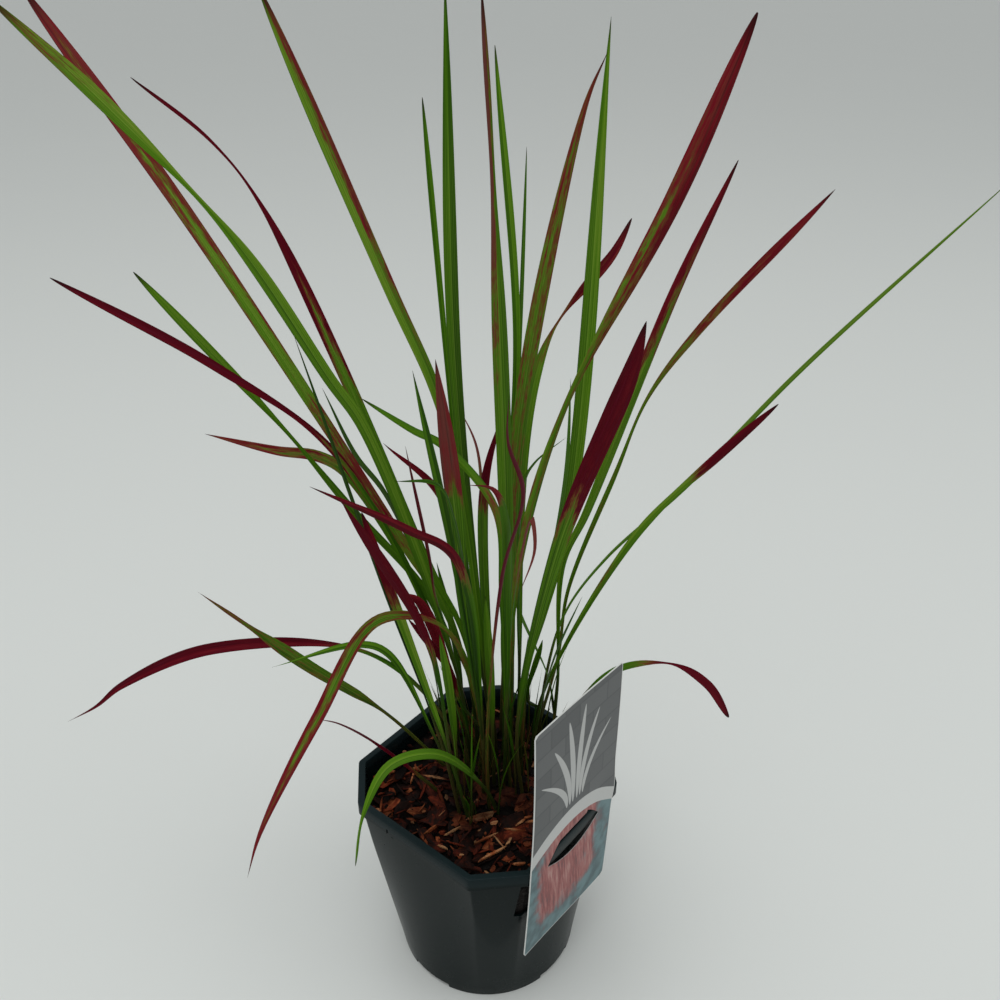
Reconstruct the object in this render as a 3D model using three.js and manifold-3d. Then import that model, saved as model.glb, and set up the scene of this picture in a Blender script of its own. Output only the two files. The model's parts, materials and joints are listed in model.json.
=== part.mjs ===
// Japanese blood grass in a nursery pot: pot, potting mix, bark mulch, hang card and a clump of leafy stems.
// Millimetres, +Z up. The origin is the centre of the pot's base, on the surface that the pot stands on.
import * as THREE from 'three';
import { mergeVertices } from 'three/addons/utils/BufferGeometryUtils.js';
import Module from 'manifold-3d';

const wasm = await Module();
wasm.setup();

const GAP = 0.3; // clearance between neighbouring pieces

// Pot: eight-sided at the rim, with four long and four short sides, and round at the base.
const POT_HEIGHT = 144;
const POT_TURN = -84.17; // direction of the front short side, degrees from +X
const RIM_LONG = 70; // centre to a long side, outside the skirt
const RIM_SHORT = 81.3; // centre to a short side, outside the skirt
const SKIRT_HEIGHT = 9.6;
const SKIRT_STAND = 3; // how far the skirt stands out from the wall
const SKIRT_WALL = 1.2;
const LIP_THICKNESS = 1.6;
const WALL = 1.5;
const FLOOR = 2;
const BASE_RADIUS = 59.6;
const SHOULDER_RADIUS = 81; // of the round form that the eight sides are cut from
const TONGUE_HEIGHT = 79; // where the flat of a short side starts
const TONGUE_APOTHEM = 71.7; // centre to that flat, at its foot
const WALL_LEVELS = [0, 66, 80, 92, 106];
const WALL_ANGLES = [-12.28, -8, -4, 0, 4, 8, 12.28, 18, 25, 35, 45, 55, 65, 72]; // within each quarter
const FILL_ANGLES = WALL_ANGLES.filter((angle, index) => index % 2 === 0); // the filling's own, coarser
const ARCH_HEIGHT = 3.2;
const ARCH_HALF_ANGLE = 14;
const ARCH_INNER = 40;
const SLOT_LEVELS = [99, 134]; // slot through the wall at the front right corner
const SLOT_SHORT = [6.2, 2.5]; // past the corner on the short side, at its foot and at its top
const SLOT_LONG = 15; // past the corner on the long side
const SLIT = { width: 1.8, low: 128, high: 138.5, along: 19 }; // in the front left side, up into the skirt

// Filling
const FILL_INSET = WALL + 1; // from the outside of the wall
const MIX_TOP = 124;
const MULCH_TOP = 129;
const CHIP_SEED = 41;
const CHIP_COUNT = 44;
const CHIP_LENGTH = [12, 24];
const CHIP_THICKNESS = [2, 3.4];
const CHIP_TILT = 17; // degrees
const CHIP_FIELD = 70; // radius within which chips lie

// Hang card, hooked on the rim by a tongue that is cut from it
const CARD = { width: 83.5, bottom: 70, top: 246, thickness: 0.8, along: -3.5, turn: -2.2 };
const CARD_BOW = 2.6; // how far its ends curl in towards the pot
const CARD_REACH = RIM_LONG + GAP + CARD.thickness / 2;
const OPENING = { halfLength: 26.5, level: 137, top: 155.5, bottom: 129, along: -3.2 };
const TONGUE_WIDTH = 27;
const TONGUE_END = 131;

// Leafy stems
const FOOT_DEPTH = 6; // how far a stem is rooted in the potting mix
const SHEATH_RADIUS = [1.3, 1.05]; // at the foot and at the top
const SECOND_RADIUS = 0.95; // where a further blade leaves the sheath
const BLADE_THICKNESS = 0.7;
const BLADE_FOLD = 0.24; // rise of the edges over the midrib, as a share of half the width
const BLADE_LEAST = 1.05; // least half width below the peak
const BLADE_OUTLINE = { neck: 0.2, peak: 0.72, draw: 0.85, pinch: [0.5, 0, 0.1] }; // where no other is given
const SEGMENT_LENGTH = 54;
const SEGMENT_BEND = 20; // degrees of bend in one segment, at most
const TIP_START = 0.975;
const HOLE_RADIUS = 1.85;
const HOLE_STRETCH = [0, 0.35]; // from the foot, as shares of the sheath's stretch

// Each stem: foot on the mulch, top of its sheath, and its blades. A blade's path runs from sheath to tip.
// Its turn is how far its face is rolled round its own length, in degrees, at the start and at the tip.
// A further blade leaves the sheath at `from`, a share of the sheath's height. Red is a blade's red share.
// A blade's outline has its width at the neck as a share of the widest, the share of its length where it is
// widest, how fast it draws in to its tip, and where, how deep and over what stretch a twist pinches it.
const STEMS = [
  {
    foot: [-15, -20],
    top: [-27, -18, 189],
    blades: [
      { path: [[-56, -7, 293], [-96, 19, 435]], width: 4, turn: [15, 10], red: 0 },
      {
        from: 0.8,
        path: [[-55, -19, 258], [-69, -19, 264], [-121, -20, 248]],
        width: 4.2,
        peak: 0.6,
        draw: 1.4,
        turn: [-75, -50],
        red: 0,
      },
    ],
  },
  {
    foot: [-9, -25],
    top: [-22, -24, 186],
    blades: [
      { path: [[-63, -17, 350]], width: 5.4, peak: 0.84, draw: 0.55, turn: [-65, -65], red: 0.3 },
      {
        from: 0.9,
        path: [[-30, -33, 276], [-64, -68, 389]],
        width: 5.6,
        peak: 0.76,
        draw: 1.1,
        turn: [55, 75],
        red: 0.8,
      },
    ],
  },
  {
    foot: [9, -17],
    top: [-1, -26, 158],
    blades: [
      {
        path: [[-29, -37, 197], [-54, -49, 200], [-68, -65, 180], [-74, -76, 148]],
        width: 6.2,
        peak: 0.5,
        draw: 0.6,
        pinch: [0.86, 0.55, 0.09],
        turn: [-60, -20],
        red: 0,
      },
    ],
  },
  {
    foot: [-24, 0],
    top: [-62, -19, 184],
    blades: [
      {
        path: [[-83, -37, 221], [-92, -45, 232]],
        width: 2.6,
        peak: 0.6,
        draw: 0.7,
        turn: [-35, -10],
        red: 0.5,
      },
    ],
  },
  {
    foot: [-21, 21],
    top: [-64, 13, 183],
    blades: [
      {
        path: [[-105, -1, 233], [-153, -25, 305]],
        width: 7.2,
        peak: 0.68,
        draw: 1.3,
        pinch: [0.83, 0.5, 0.08],
        turn: [-65, -65],
        red: 0.15,
      },
    ],
  },
  {
    foot: [-14, 12],
    top: [-30, 11, 187],
    blades: [
      {
        path: [[-74, 10, 235], [-163, 6, 240], [-220, 3, 214], [-238, 1, 199], [-258, 0, 187]],
        width: 7,
        peak: 0.7,
        draw: 1.3,
        pinch: [0.42, 0.5, 0.09],
        turn: [-45, -65],
        red: 0.8,
      },
      {
        from: 0.9,
        path: [[-17, 9, 201], [-21, 7, 217], [-38, -2, 282], [-49, -4, 288]],
        width: 7,
        turn: [45, 100],
        red: 0.9,
      },
    ],
  },
  {
    foot: [-5, 12],
    top: [-4, 0, 189],
    blades: [
      {
        path: [[-24, -21, 279], [-57, -36, 294], [-89, -60, 247], [-121, -87, 189], [-129, -97, 165]],
        width: 7.2,
        peak: 0.66,
        draw: 1,
        pinch: [0.45, 0.6, 0.07],
        turn: [-130, -25],
        red: 0.5,
      },
      {
        from: 0.9,
        path: [[-15, -1, 203], [-21, -6, 234], [-42, -21, 284]],
        width: 4.5,
        turn: [55, 90],
        red: 0.9,
      },
    ],
  },
  {
    foot: [-19, 43],
    top: [-25, 44, 192],
    blades: [
      {
        path: [[-83, 31, 359], [-138, 22, 414], [-208, 10, 466]],
        width: 4.8,
        neck: 0.45,
        peak: 0.86,
        draw: 0.6,
        pinch: [0.68, 0.35, 0.06],
        turn: [-90, -65],
        red: 0.75,
      },
      {
        from: 1,
        path: [[-36, 43, 242], [-81, 52, 334], [-97, 54, 344], [-121, 57, 346], [-164, 63, 354]],
        width: 6.6,
        peak: 0.7,
        draw: 0.95,
        turn: [-65, -55],
        red: 0.8,
      },
    ],
  },
  {
    foot: [-15, 55],
    top: [-21, 55, 184],
    blades: [
      {
        path: [[-37, 54, 244], [-80, 50, 311], [-113, 46, 366], [-174, 28, 463]],
        width: 5.4,
        neck: 0.75,
        peak: 0.87,
        draw: 0.6,
        pinch: [0.68, 0.6, 0.09],
        turn: [-75, -70],
        red: 0.05,
      },
      {
        from: 1,
        path: [[-26, 55, 212], [-60, 57, 316], [-76, 58, 342], [-92, 60, 385]],
        width: 5,
        turn: [-15, -10],
        red: 0.2,
      },
    ],
  },
  {
    foot: [-5, 35],
    top: [-12, 36, 195],
    blades: [
      {
        path: [[-28, 38, 253], [-47, 40, 289], [-153, 61, 482], [-221, 82, 585]],
        width: 8.2,
        neck: 0.6,
        peak: 0.85,
        draw: 0.5,
        turn: [-55, -55],
        red: 0.55,
      },
    ],
  },
  {
    foot: [0, 26],
    top: [-6, 27, 186],
    blades: [
      {
        path: [[-16, 28, 241], [-30, 29, 275], [-106, 34, 491], [-127, 35, 523], [-161, 36, 552]],
        width: 6.8,
        peak: 0.62,
        draw: 0.6,
        pinch: [0.87, 0.75, 0.08],
        turn: [-70, -70],
        red: 0.55,
      },
      {
        from: 1,
        path: [[-27, 1, 278], [-29, -12, 318], [-35, -49, 406]],
        width: 3.6,
        turn: [95, 90],
        red: 0.9,
      },
    ],
  },
  {
    foot: [-10, 24],
    top: [-17, 23, 199],
    blades: [
      {
        path: [[-63, 17, 380], [-79, 15, 411], [-116, 11, 483], [-163, 7, 544], [-203, 3, 588]],
        width: 7.2,
        neck: 0.6,
        peak: 0.86,
        draw: 0.6,
        pinch: [0.79, 0.7, 0.06],
        turn: [-85, -70],
        red: 0,
      },
    ],
  },
  {
    foot: [3, 13],
    top: [1, 13, 191],
    blades: [
      {
        path: [[-13, 10, 353], [-24, 9, 406], [-44, 7, 461], [-90, 0, 592]],
        width: 6.4,
        neck: 0.55,
        peak: 0.85,
        draw: 0.55,
        turn: [-95, -80],
        red: 0.4,
      },
      { from: 1, path: [[-21, -7, 351], [-49, -20, 392]], width: 4.5, turn: [40, 90], red: 0.9 },
    ],
  },
  {
    foot: [-2, -4],
    top: [-2, -11, 189],
    blades: [
      {
        path: [[-13, -56, 348], [-33, -73, 375], [-68, -110, 420]],
        width: 4.5,
        turn: [-10, 95],
        red: 0.85,
      },
      { from: 1, path: [[-16, -34, 340], [-28, -70, 453]], width: 4, turn: [30, 35], red: 0 },
      {
        from: 0.9,
        path: [[-13, -55, 370], [-20, -67, 396], [-37, -80, 405]],
        width: 4,
        turn: [65, 115],
        red: 0.1,
      },
      {
        from: 1,
        path: [[-12, -13, 290], [-15, -14, 352], [-22, -16, 435]],
        width: 9.5,
        neck: 0.25,
        peak: 0.74,
        draw: 0.9,
        turn: [-80, -80],
        red: 0.9,
      },
    ],
  },
  {
    foot: [3, 39],
    top: [-1, 39, 188],
    blades: [
      {
        path: [[-15, 35, 407], [-15, 26, 595]],
        width: 7,
        neck: 0.6,
        peak: 0.7,
        turn: [60, 55],
        red: 0,
      },
    ],
  },
  {
    foot: [-2, 50],
    top: [-6, 52, 188],
    blades: [
      {
        path: [[-15, 62, 303], [-32, 100, 533]],
        width: 3.4,
        peak: 0.86,
        draw: 0.55,
        turn: [-25, -25],
        red: 0,
      },
    ],
  },
  {
    foot: [11, -1],
    top: [12, -6, 185],
    blades: [
      {
        path: [[10, -19, 295], [6, -14, 351], [-21, -3, 382], [-35, -3, 390], [-60, -7, 410]],
        width: 4.4,
        peak: 0.82,
        draw: 0.6,
        turn: [50, 135],
        red: 0,
      },
      {
        from: 0.9,
        path: [[13, -31, 285], [7, -86, 403], [-5, -100, 415]],
        width: 4.5,
        turn: [-10, 40],
        red: 0.9,
      },
    ],
  },
  {
    foot: [12, 17],
    top: [11, 15, 190],
    blades: [
      {
        path: [[13, 9, 276], [6, -26, 514], [2, -50, 594]],
        width: 8,
        neck: 0.8,
        peak: 0.58,
        draw: 0.6,
        pinch: [0.85, 0.6, 0.1],
        turn: [10, 10],
        red: 0.5,
      },
    ],
  },
  {
    foot: [7, 31],
    top: [3, 30, 189],
    blades: [
      { path: [[0, 23, 341], [10, 20, 389]], width: 6, neck: 0.5, turn: [-5, -20], red: 0.9 },
      {
        from: 1,
        path: [[-2, 47, 276], [-5, 61, 345], [-15, 67, 369]],
        width: 4,
        turn: [35, 40],
        red: 0.3,
      },
    ],
  },
  {
    foot: [2, -14],
    top: [1, -21, 191],
    blades: [
      {
        path: [[10, -60, 340], [19, -85, 401], [12, -104, 437], [12, -120, 465]],
        width: 2.8,
        turn: [25, 40],
        red: 0.8,
      },
    ],
  },
  {
    foot: [16, 43],
    top: [17, 46, 193],
    blades: [
      {
        path: [[15, 58, 315], [18, 76, 417], [6, 110, 557]],
        width: 4.5,
        neck: 0.3,
        peak: 0.8,
        draw: 0.6,
        turn: [-10, -10],
        red: 0,
      },
      {
        from: 1,
        path: [[18, 71, 327], [24, 140, 500]],
        width: 3.6,
        peak: 0.75,
        draw: 0.7,
        turn: [50, 50],
        red: 0,
      },
    ],
  },
  {
    foot: [17, 26],
    top: [16, 25, 184],
    blades: [
      {
        path: [[18, 21, 372], [46, 12, 542], [55, 10, 566]],
        width: 8,
        neck: 0.5,
        peak: 0.68,
        draw: 0.9,
        turn: [-65, -75],
        red: 0.55,
      },
    ],
  },
  {
    foot: [23, 31],
    top: [21, 33, 192],
    blades: [
      {
        path: [[32, 55, 408], [72, 85, 456], [81, 92, 472]],
        width: 6.4,
        neck: 0.4,
        peak: 0.88,
        draw: 0.6,
        pinch: [0.82, 0.8, 0.05],
        turn: [65, 50],
        red: 0.5,
      },
      {
        from: 1,
        path: [[22, 31, 338], [28, 31, 352], [45, 30, 369]],
        width: 4,
        turn: [-5, -45],
        red: 0,
      },
    ],
  },
  {
    foot: [23, 13],
    top: [23, 25, 189],
    blades: [
      {
        path: [[49, 44, 314], [63, 83, 573]],
        width: 8.6,
        neck: 0.5,
        peak: 0.62,
        turn: [20, 25],
        red: 0,
      },
      { from: 1, path: [[45, 34, 337], [47, 40, 400]], width: 4, turn: [100, 110], red: 0 },
    ],
  },
  {
    foot: [24, -4],
    top: [19, -7, 187],
    blades: [
      {
        path: [[39, -26, 334], [66, -51, 443], [70, -60, 471]],
        width: 9.6,
        peak: 0.85,
        draw: 0.8,
        turn: [-45, -60],
        red: 0.55,
      },
    ],
  },
  {
    foot: [16, -1],
    top: [13, -2, 192],
    blades: [
      {
        path: [[20, -6, 317], [40, -11, 405], [84, -21, 512], [108, -30, 585]],
        width: 8.4,
        peak: 0.85,
        draw: 0.55,
        pinch: [0.62, 0.6, 0.11],
        turn: [-75, -90],
        red: 0.65,
      },
      {
        from: 1,
        path: [[16, -26, 296], [24, -59, 372], [25, -71, 363], [18, -90, 353]],
        width: 3.5,
        turn: [100, 40],
        red: 0.6,
      },
    ],
  },
  {
    foot: [43, 39],
    top: [46, 37, 183],
    blades: [
      {
        path: [[45, 18, 293], [56, 10, 332], [86, -26, 469], [103, -49, 534]],
        width: 5.6,
        peak: 0.74,
        draw: 0.6,
        turn: [-35, -55],
        red: 0.6,
      },
      {
        from: 0.6,
        path: [[40, 40, 188], [21, 40, 240], [9, 40, 286]],
        width: 4,
        turn: [-10, -20],
        red: 0.1,
      },
    ],
  },
  {
    foot: [30, 46],
    top: [47, 58, 189],
    blades: [
      {
        path: [[52, 57, 246], [77, 56, 332], [92, 54, 382], [116, 53, 422], [176, 50, 498]],
        width: 5,
        neck: 0.3,
        peak: 0.88,
        draw: 0.8,
        pinch: [0.62, 0.6, 0.1],
        turn: [85, 70],
        red: 0.7,
      },
    ],
  },
  {
    foot: [34, 41],
    top: [39, 44, 187],
    blades: [
      {
        path: [[50, 43, 240], [73, 42, 281], [114, 40, 330], [170, 37, 407], [254, 30, 509]],
        width: 4.2,
        peak: 0.66,
        draw: 0.75,
        turn: [115, 115],
        red: 0,
      },
    ],
  },
  {
    foot: [30, 30],
    top: [35, 26, 182],
    blades: [
      {
        path: [[82, 0, 323], [117, -23, 387], [137, -40, 423]],
        width: 4.8,
        neck: 0.3,
        peak: 0.87,
        draw: 0.65,
        pinch: [0.76, 0.3, 0.06],
        turn: [-70, -95],
        red: 0.5,
      },
      { from: 0.9, path: [[27, 24, 181], [33, -10, 260]], width: 3.5, turn: [-15, -15], red: 0.6 },
    ],
  },
  {
    foot: [37, 21],
    top: [59, 21, 184],
    blades: [
      {
        path: [[83, 22, 211], [115, 23, 214], [139, 24, 197], [157, 25, 167]],
        width: 5.6,
        neck: 0.35,
        peak: 0.86,
        draw: 0.45,
        pinch: [0.67, 0.75, 0.07],
        turn: [35, 75],
        red: 0.5,
      },
    ],
  },
];

// Young shoots between the grown stems: where each comes up. Their lean and height are drawn.
const SHOOTS = [[-12, 34], [5, 4], [-9, 1], [27, 20], [9, 50], [-27, 33], [18, 8], [-17, -6]];
const SHOOT_SEED = 14;
const CLUMP_CENTRE = [8, 20];

const COLOURS = {
  pot: { color: 0x2b3a3d, roughness: 0.42, metalness: 0 },
  potting_mix: { color: 0x2a1c14, roughness: 0.95, metalness: 0 },
  bark_mulch: { color: 0x6b3320, roughness: 0.85, metalness: 0 },
  hang_card: { color: 0x7c7f80, roughness: 0.35, metalness: 0 },
  green: { color: 0x5c8f31, roughness: 0.5, metalness: 0 },
  crimson: { color: 0x7a1c33, roughness: 0.5, metalness: 0 },
};

const UP = new THREE.Vector3(0, 0, 1);

// ---- Solids: a closed geometry is handed to the joining library and back.

function solidFrom(geometry) {
  const bare = geometry.clone();
  bare.deleteAttribute('normal');
  bare.deleteAttribute('uv');
  const merged = mergeVertices(bare, 1e-4);
  const vertProperties = new Float32Array(merged.attributes.position.array);
  const triVerts = new Uint32Array(merged.index.array);
  return new wasm.Manifold(new wasm.Mesh({ numProp: 3, vertProperties, triVerts }));
}

function geometryFrom(solid) {
  const { vertProperties, triVerts } = solid.getMesh();
  const geometry = new THREE.BufferGeometry();
  geometry.setAttribute('position', new THREE.BufferAttribute(new Float32Array(vertProperties), 3));
  geometry.setIndex(new THREE.BufferAttribute(new Uint32Array(triVerts), 1));
  geometry.computeVertexNormals();
  return geometry;
}

function geometryOf(points, triangles) {
  const geometry = new THREE.BufferGeometry().setFromPoints(points);
  geometry.setIndex(triangles);
  return geometry;
}

// Closed solid through level loops of points that run anticlockwise seen from above.
function loftLoops(loops) {
  const count = loops[0].length;
  const points = loops.flat();
  const triangles = [];
  for (let row = 0; row + 1 < loops.length; row += 1) {
    for (let i = 0; i < count; i += 1) {
      const a = row * count + i;
      const b = row * count + ((i + 1) % count);
      triangles.push(a, b, b + count, a, b + count, a + count);
    }
  }
  const capAt = (row, upward) => {
    const centre = new THREE.Vector3();
    loops[row].forEach((point) => centre.addScaledVector(point, 1 / count));
    const hub = points.push(centre) - 1;
    for (let i = 0; i < count; i += 1) {
      const a = row * count + i;
      const b = row * count + ((i + 1) % count);
      triangles.push(...(upward ? [hub, a, b] : [hub, b, a]));
    }
  };
  capAt(0, false);
  capAt(loops.length - 1, true);
  return solidFrom(geometryOf(points, triangles));
}

function extrudeSolid(shape, depth, matrix, curveSegments = 8) {
  const geometry = new THREE.ExtrudeGeometry(shape, { depth, bevelEnabled: false, curveSegments });
  geometry.applyMatrix4(matrix);
  return solidFrom(geometry);
}

// The main body of a cut solid, without loose scraps
function largestPart(solid) {
  return solid.decompose().reduce((best, part) => (part.volume() > best.volume() ? part : best));
}

// ---- Pot

const radians = THREE.MathUtils.degToRad;

function direction(degrees) {
  return new THREE.Vector3(Math.cos(radians(degrees)), Math.sin(radians(degrees)), 0);
}

// Outer radius of the wall: a round form that widens upwards, cut by four long sides and four short ones.
function wallRadius(offset, level) {
  const top = POT_HEIGHT - SKIRT_HEIGHT;
  const rise = Math.min(level / top, 1);
  const fromShort = ((offset + 45) % 90) - 45;
  const fromLong = 45 - Math.abs(fromShort);
  const longSide = (RIM_LONG - SKIRT_STAND) / Math.cos(radians(fromLong));
  const round = BASE_RADIUS + (Math.min(SHOULDER_RADIUS, longSide) - BASE_RADIUS) * rise;
  const tongueRise = Math.min((level - TONGUE_HEIGHT) / (top - TONGUE_HEIGHT), 1);
  const flat = THREE.MathUtils.lerp(TONGUE_APOTHEM, RIM_SHORT - SKIRT_STAND, tongueRise);
  return Math.min(round, flat / Math.cos(radians(fromShort)));
}

function wallLoop(level, inset, angles) {
  const loop = [];
  for (let quarter = 0; quarter < 4; quarter += 1) {
    for (const offset of angles) {
      const point = direction(POT_TURN + quarter * 90 + offset);
      point.multiplyScalar(wallRadius((offset + 360) % 90, level) - inset);
      loop.push(point.setZ(level));
    }
  }
  return loop;
}

function wallSolid(levels, inset, angles = WALL_ANGLES) {
  return loftLoops(levels.map((level) => wallLoop(level, inset, angles)));
}

// Level octagon, `shrink` inside the skirt's outer faces
function rimLoop(level, shrink) {
  const long = RIM_LONG - shrink;
  const short = RIM_SHORT - shrink;
  const half = long * Math.SQRT2 - short;
  const loop = [];
  for (let quarter = 0; quarter < 4; quarter += 1) {
    const out = direction(POT_TURN + quarter * 90);
    const along = direction(POT_TURN + quarter * 90 + 90);
    for (const side of [-half, half]) {
      loop.push(out.clone().multiplyScalar(short).addScaledVector(along, side).setZ(level));
    }
  }
  return loop;
}

function drainArch(quarter) {
  const centre = radians(POT_TURN + quarter * 90 + 45);
  const half = radians(ARCH_HALF_ANGLE);
  const outer = BASE_RADIUS + 5;
  const shape = new THREE.Shape();
  shape.absarc(0, 0, outer, centre - half, centre + half, false);
  shape.absarc(0, 0, ARCH_INNER, centre + half, centre - half, true);
  return extrudeSolid(shape, ARCH_HEIGHT + 1, new THREE.Matrix4().makeTranslation(0, 0, -1), 4);
}

// Box given by its frame: `out` points away from the pot, `along` runs level beside the wall.
function wallBox(out, alongRange, outRange, levels) {
  const along = out.clone().cross(UP).negate();
  const ranges = [outRange, alongRange, levels];
  const geometry = new THREE.BoxGeometry(...ranges.map(([low, high]) => high - low));
  geometry.translate(...ranges.map(([low, high]) => (low + high) / 2));
  geometry.applyMatrix4(new THREE.Matrix4().makeBasis(out, along, UP));
  return solidFrom(geometry);
}

function cornerSlot() {
  const half = (RIM_LONG - SKIRT_STAND) * Math.SQRT2 - (RIM_SHORT - SKIRT_STAND);
  const longHalf = (RIM_SHORT - SKIRT_STAND) * Math.SQRT2 - (RIM_LONG - SKIRT_STAND);
  const [low, high] = SLOT_LEVELS;
  const outline = new THREE.Shape([
    new THREE.Vector2(half - SLOT_SHORT[0], low),
    new THREE.Vector2(half + 2, low),
    new THREE.Vector2(half + 2, high),
    new THREE.Vector2(half - SLOT_SHORT[1], high),
  ]);
  const out = direction(POT_TURN);
  const placed = new THREE.Matrix4().makeBasis(UP.clone().cross(out), UP, out);
  placed.setPosition(out.clone().multiplyScalar(64));
  const onShort = extrudeSolid(outline, 20, placed);
  const longReach = [-longHalf - 2, SLOT_LONG - longHalf];
  const onLong = wallBox(direction(POT_TURN + 45), longReach, [56, 72], SLOT_LEVELS);
  return onShort.add(onLong);
}

function sideSlit() {
  const reach = [-SLIT.along - SLIT.width, -SLIT.along];
  return wallBox(direction(POT_TURN - 45), reach, [60, 72], [SLIT.low, SLIT.high]);
}

function pot() {
  const top = POT_HEIGHT - SKIRT_HEIGHT;
  const outside = wallSolid([...WALL_LEVELS, top, POT_HEIGHT], 0);
  const inside = wallSolid([FLOOR, ...WALL_LEVELS.slice(1), top, POT_HEIGHT + 1], WALL);
  const skirt = loftLoops([rimLoop(top, 0), rimLoop(POT_HEIGHT, 0)]);
  const underLip = POT_HEIGHT - LIP_THICKNESS;
  const underSkirt = loftLoops([rimLoop(top - 1, SKIRT_WALL), rimLoop(underLip, SKIRT_WALL)]);
  let solid = skirt.subtract(underSkirt).add(outside).subtract(inside);
  for (let quarter = 0; quarter < 4; quarter += 1) {
    solid = solid.subtract(drainArch(quarter));
  }
  return solid.subtract(cornerSlot()).subtract(sideSlit());
}

// ---- Leafy stems

const vector = (values) => new THREE.Vector3(...values);

function sheathPoints(stem) {
  return [new THREE.Vector3(stem.foot[0], stem.foot[1], MIX_TOP - FOOT_DEPTH), vector(stem.top)];
}

function mainCurve(stem) {
  return new THREE.CatmullRomCurve3([...sheathPoints(stem), ...stem.blades[0].path.map(vector)]);
}

// A further blade starts on the sheath's own line, which is the first stretch of the main curve.
function secondCurve(stem, blade) {
  const main = mainCurve(stem);
  const start = main.getPoint(blade.from / (main.points.length - 1));
  return new THREE.CatmullRomCurve3([start, ...blade.path.map(vector)]);
}

// Axes of a blade's section: width and face, rolled by the blade's turn about the curve's tangent.
function sectionAxes(curve, share, turn) {
  const first = curve.points[0];
  const last = curve.points[curve.points.length - 1];
  const lean = last.clone().sub(first).setZ(0).normalize();
  const tangent = curve.getTangentAt(share);
  const level = UP.clone().cross(lean);
  const across = level.addScaledVector(tangent, -level.dot(tangent)).normalize();
  const face = tangent.clone().cross(across);
  const roll = radians(THREE.MathUtils.lerp(turn[0], turn[1], share));
  const width = across.clone().multiplyScalar(Math.cos(roll)).addScaledVector(face, Math.sin(roll));
  return { width, face: tangent.clone().cross(width) };
}

// Half width: it swells to the peak, draws in to the tip and narrows at the pinch.
function halfWidth(share, { width, neck, peak, draw, pinch: [place, depth, spread] }) {
  const rise = Math.sin((Math.PI / 2) * Math.min(share / peak, 1)) ** 2.2;
  const tip = Math.sin((Math.PI / 2) * Math.min((1 - share) / (1 - peak), 1)) ** draw;
  const left = 1 - depth * Math.exp(-(((share - place) / spread) ** 2));
  const half = (width / 2) * Math.min(neck + (1 - neck) * rise, tip) * left;
  return Math.max(half, share < peak ? BLADE_LEAST : BLADE_LEAST / 2);
}

// Six points of a section: a round sheath at opening 0, an open V of even thickness at opening 1.
function section(opening, radius, half) {
  const thick = BLADE_THICKNESS / 2;
  const rise = half * BLADE_FOLD;
  const round = [150, 90, 30, -30, -90, -150].map((angle) => [
    radius * Math.cos(radians(angle)),
    radius * Math.sin(radians(angle)),
  ]);
  const open = [
    [-half, thick + rise],
    [0, thick],
    [half, thick + rise],
    [half, rise - thick],
    [0, -thick],
    [-half, rise - thick],
  ];
  const blend = (value, i, axis) => THREE.MathUtils.lerp(value, open[i][axis], opening);
  return round.map((point, i) => point.map((value, axis) => blend(value, i, axis)));
}

function segmentCount(curve) {
  const samples = 60;
  let bend = 0;
  for (let i = 1; i < samples; i += 1) {
    bend += curve.getTangentAt((i - 1) / samples).angleTo(curve.getTangentAt(i / samples));
  }
  return Math.ceil(curve.getLength() / SEGMENT_LENGTH + THREE.MathUtils.radToDeg(bend) / SEGMENT_BEND);
}

// Sections along a curve, joined and drawn to a point. Both faces of the blade are split alike.
function bladeSolid(curve, shape) {
  const steps = segmentCount(curve);
  const points = [];
  for (let i = 0; i <= steps; i += 1) {
    const share = (i / steps) * TIP_START;
    const axes = sectionAxes(curve, share, shape.turn);
    const centre = curve.getPointAt(share);
    const opening = THREE.MathUtils.smoothstep(share, shape.closed, shape.closed + shape.opens);
    const radius = THREE.MathUtils.lerp(shape.radius[0], shape.radius[1], Math.min(share / shape.closed, 1));
    const half = halfWidth(share, shape);
    for (const [x, y] of section(opening, radius, half)) {
      points.push(centre.clone().addScaledVector(axes.width, x).addScaledVector(axes.face, y));
    }
  }
  const tip = points.push(curve.getPointAt(1)) - 1;
  const triangles = [0, 1, 2, 0, 2, 3, 0, 3, 4, 0, 4, 5];
  const slantsBack = [false, false, false, true, true, false];
  for (let i = 0; i < steps; i += 1) {
    for (let side = 0; side < 6; side += 1) {
      const a = i * 6 + side;
      const b = i * 6 + ((side + 1) % 6);
      const c = b + 6;
      const d = a + 6;
      triangles.push(...(slantsBack[side] ? [a, d, b, b, d, c] : [a, d, c, a, c, b]));
    }
  }
  for (let side = 0; side < 6; side += 1) {
    triangles.push(steps * 6 + side, tip, steps * 6 + ((side + 1) % 6));
  }
  return solidFrom(geometryOf(points, triangles));
}

function leafyStem(stem) {
  const curve = mainCurve(stem);
  const lengths = curve.getLengths(400);
  const topShare = lengths[Math.round(400 / (curve.points.length - 1))] / curve.getLength();
  const [main, ...others] = stem.blades;
  const first = { ...BLADE_OUTLINE, ...main, radius: SHEATH_RADIUS, closed: topShare, opens: 0.12 };
  let solid = bladeSolid(curve, first);
  for (const blade of others) {
    const base = { radius: [SECOND_RADIUS, SECOND_RADIUS], closed: 0.08, opens: 0.16 };
    solid = solid.add(bladeSolid(secondCurve(stem, blade), { ...BLADE_OUTLINE, ...blade, ...base }));
  }
  return solid;
}

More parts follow.
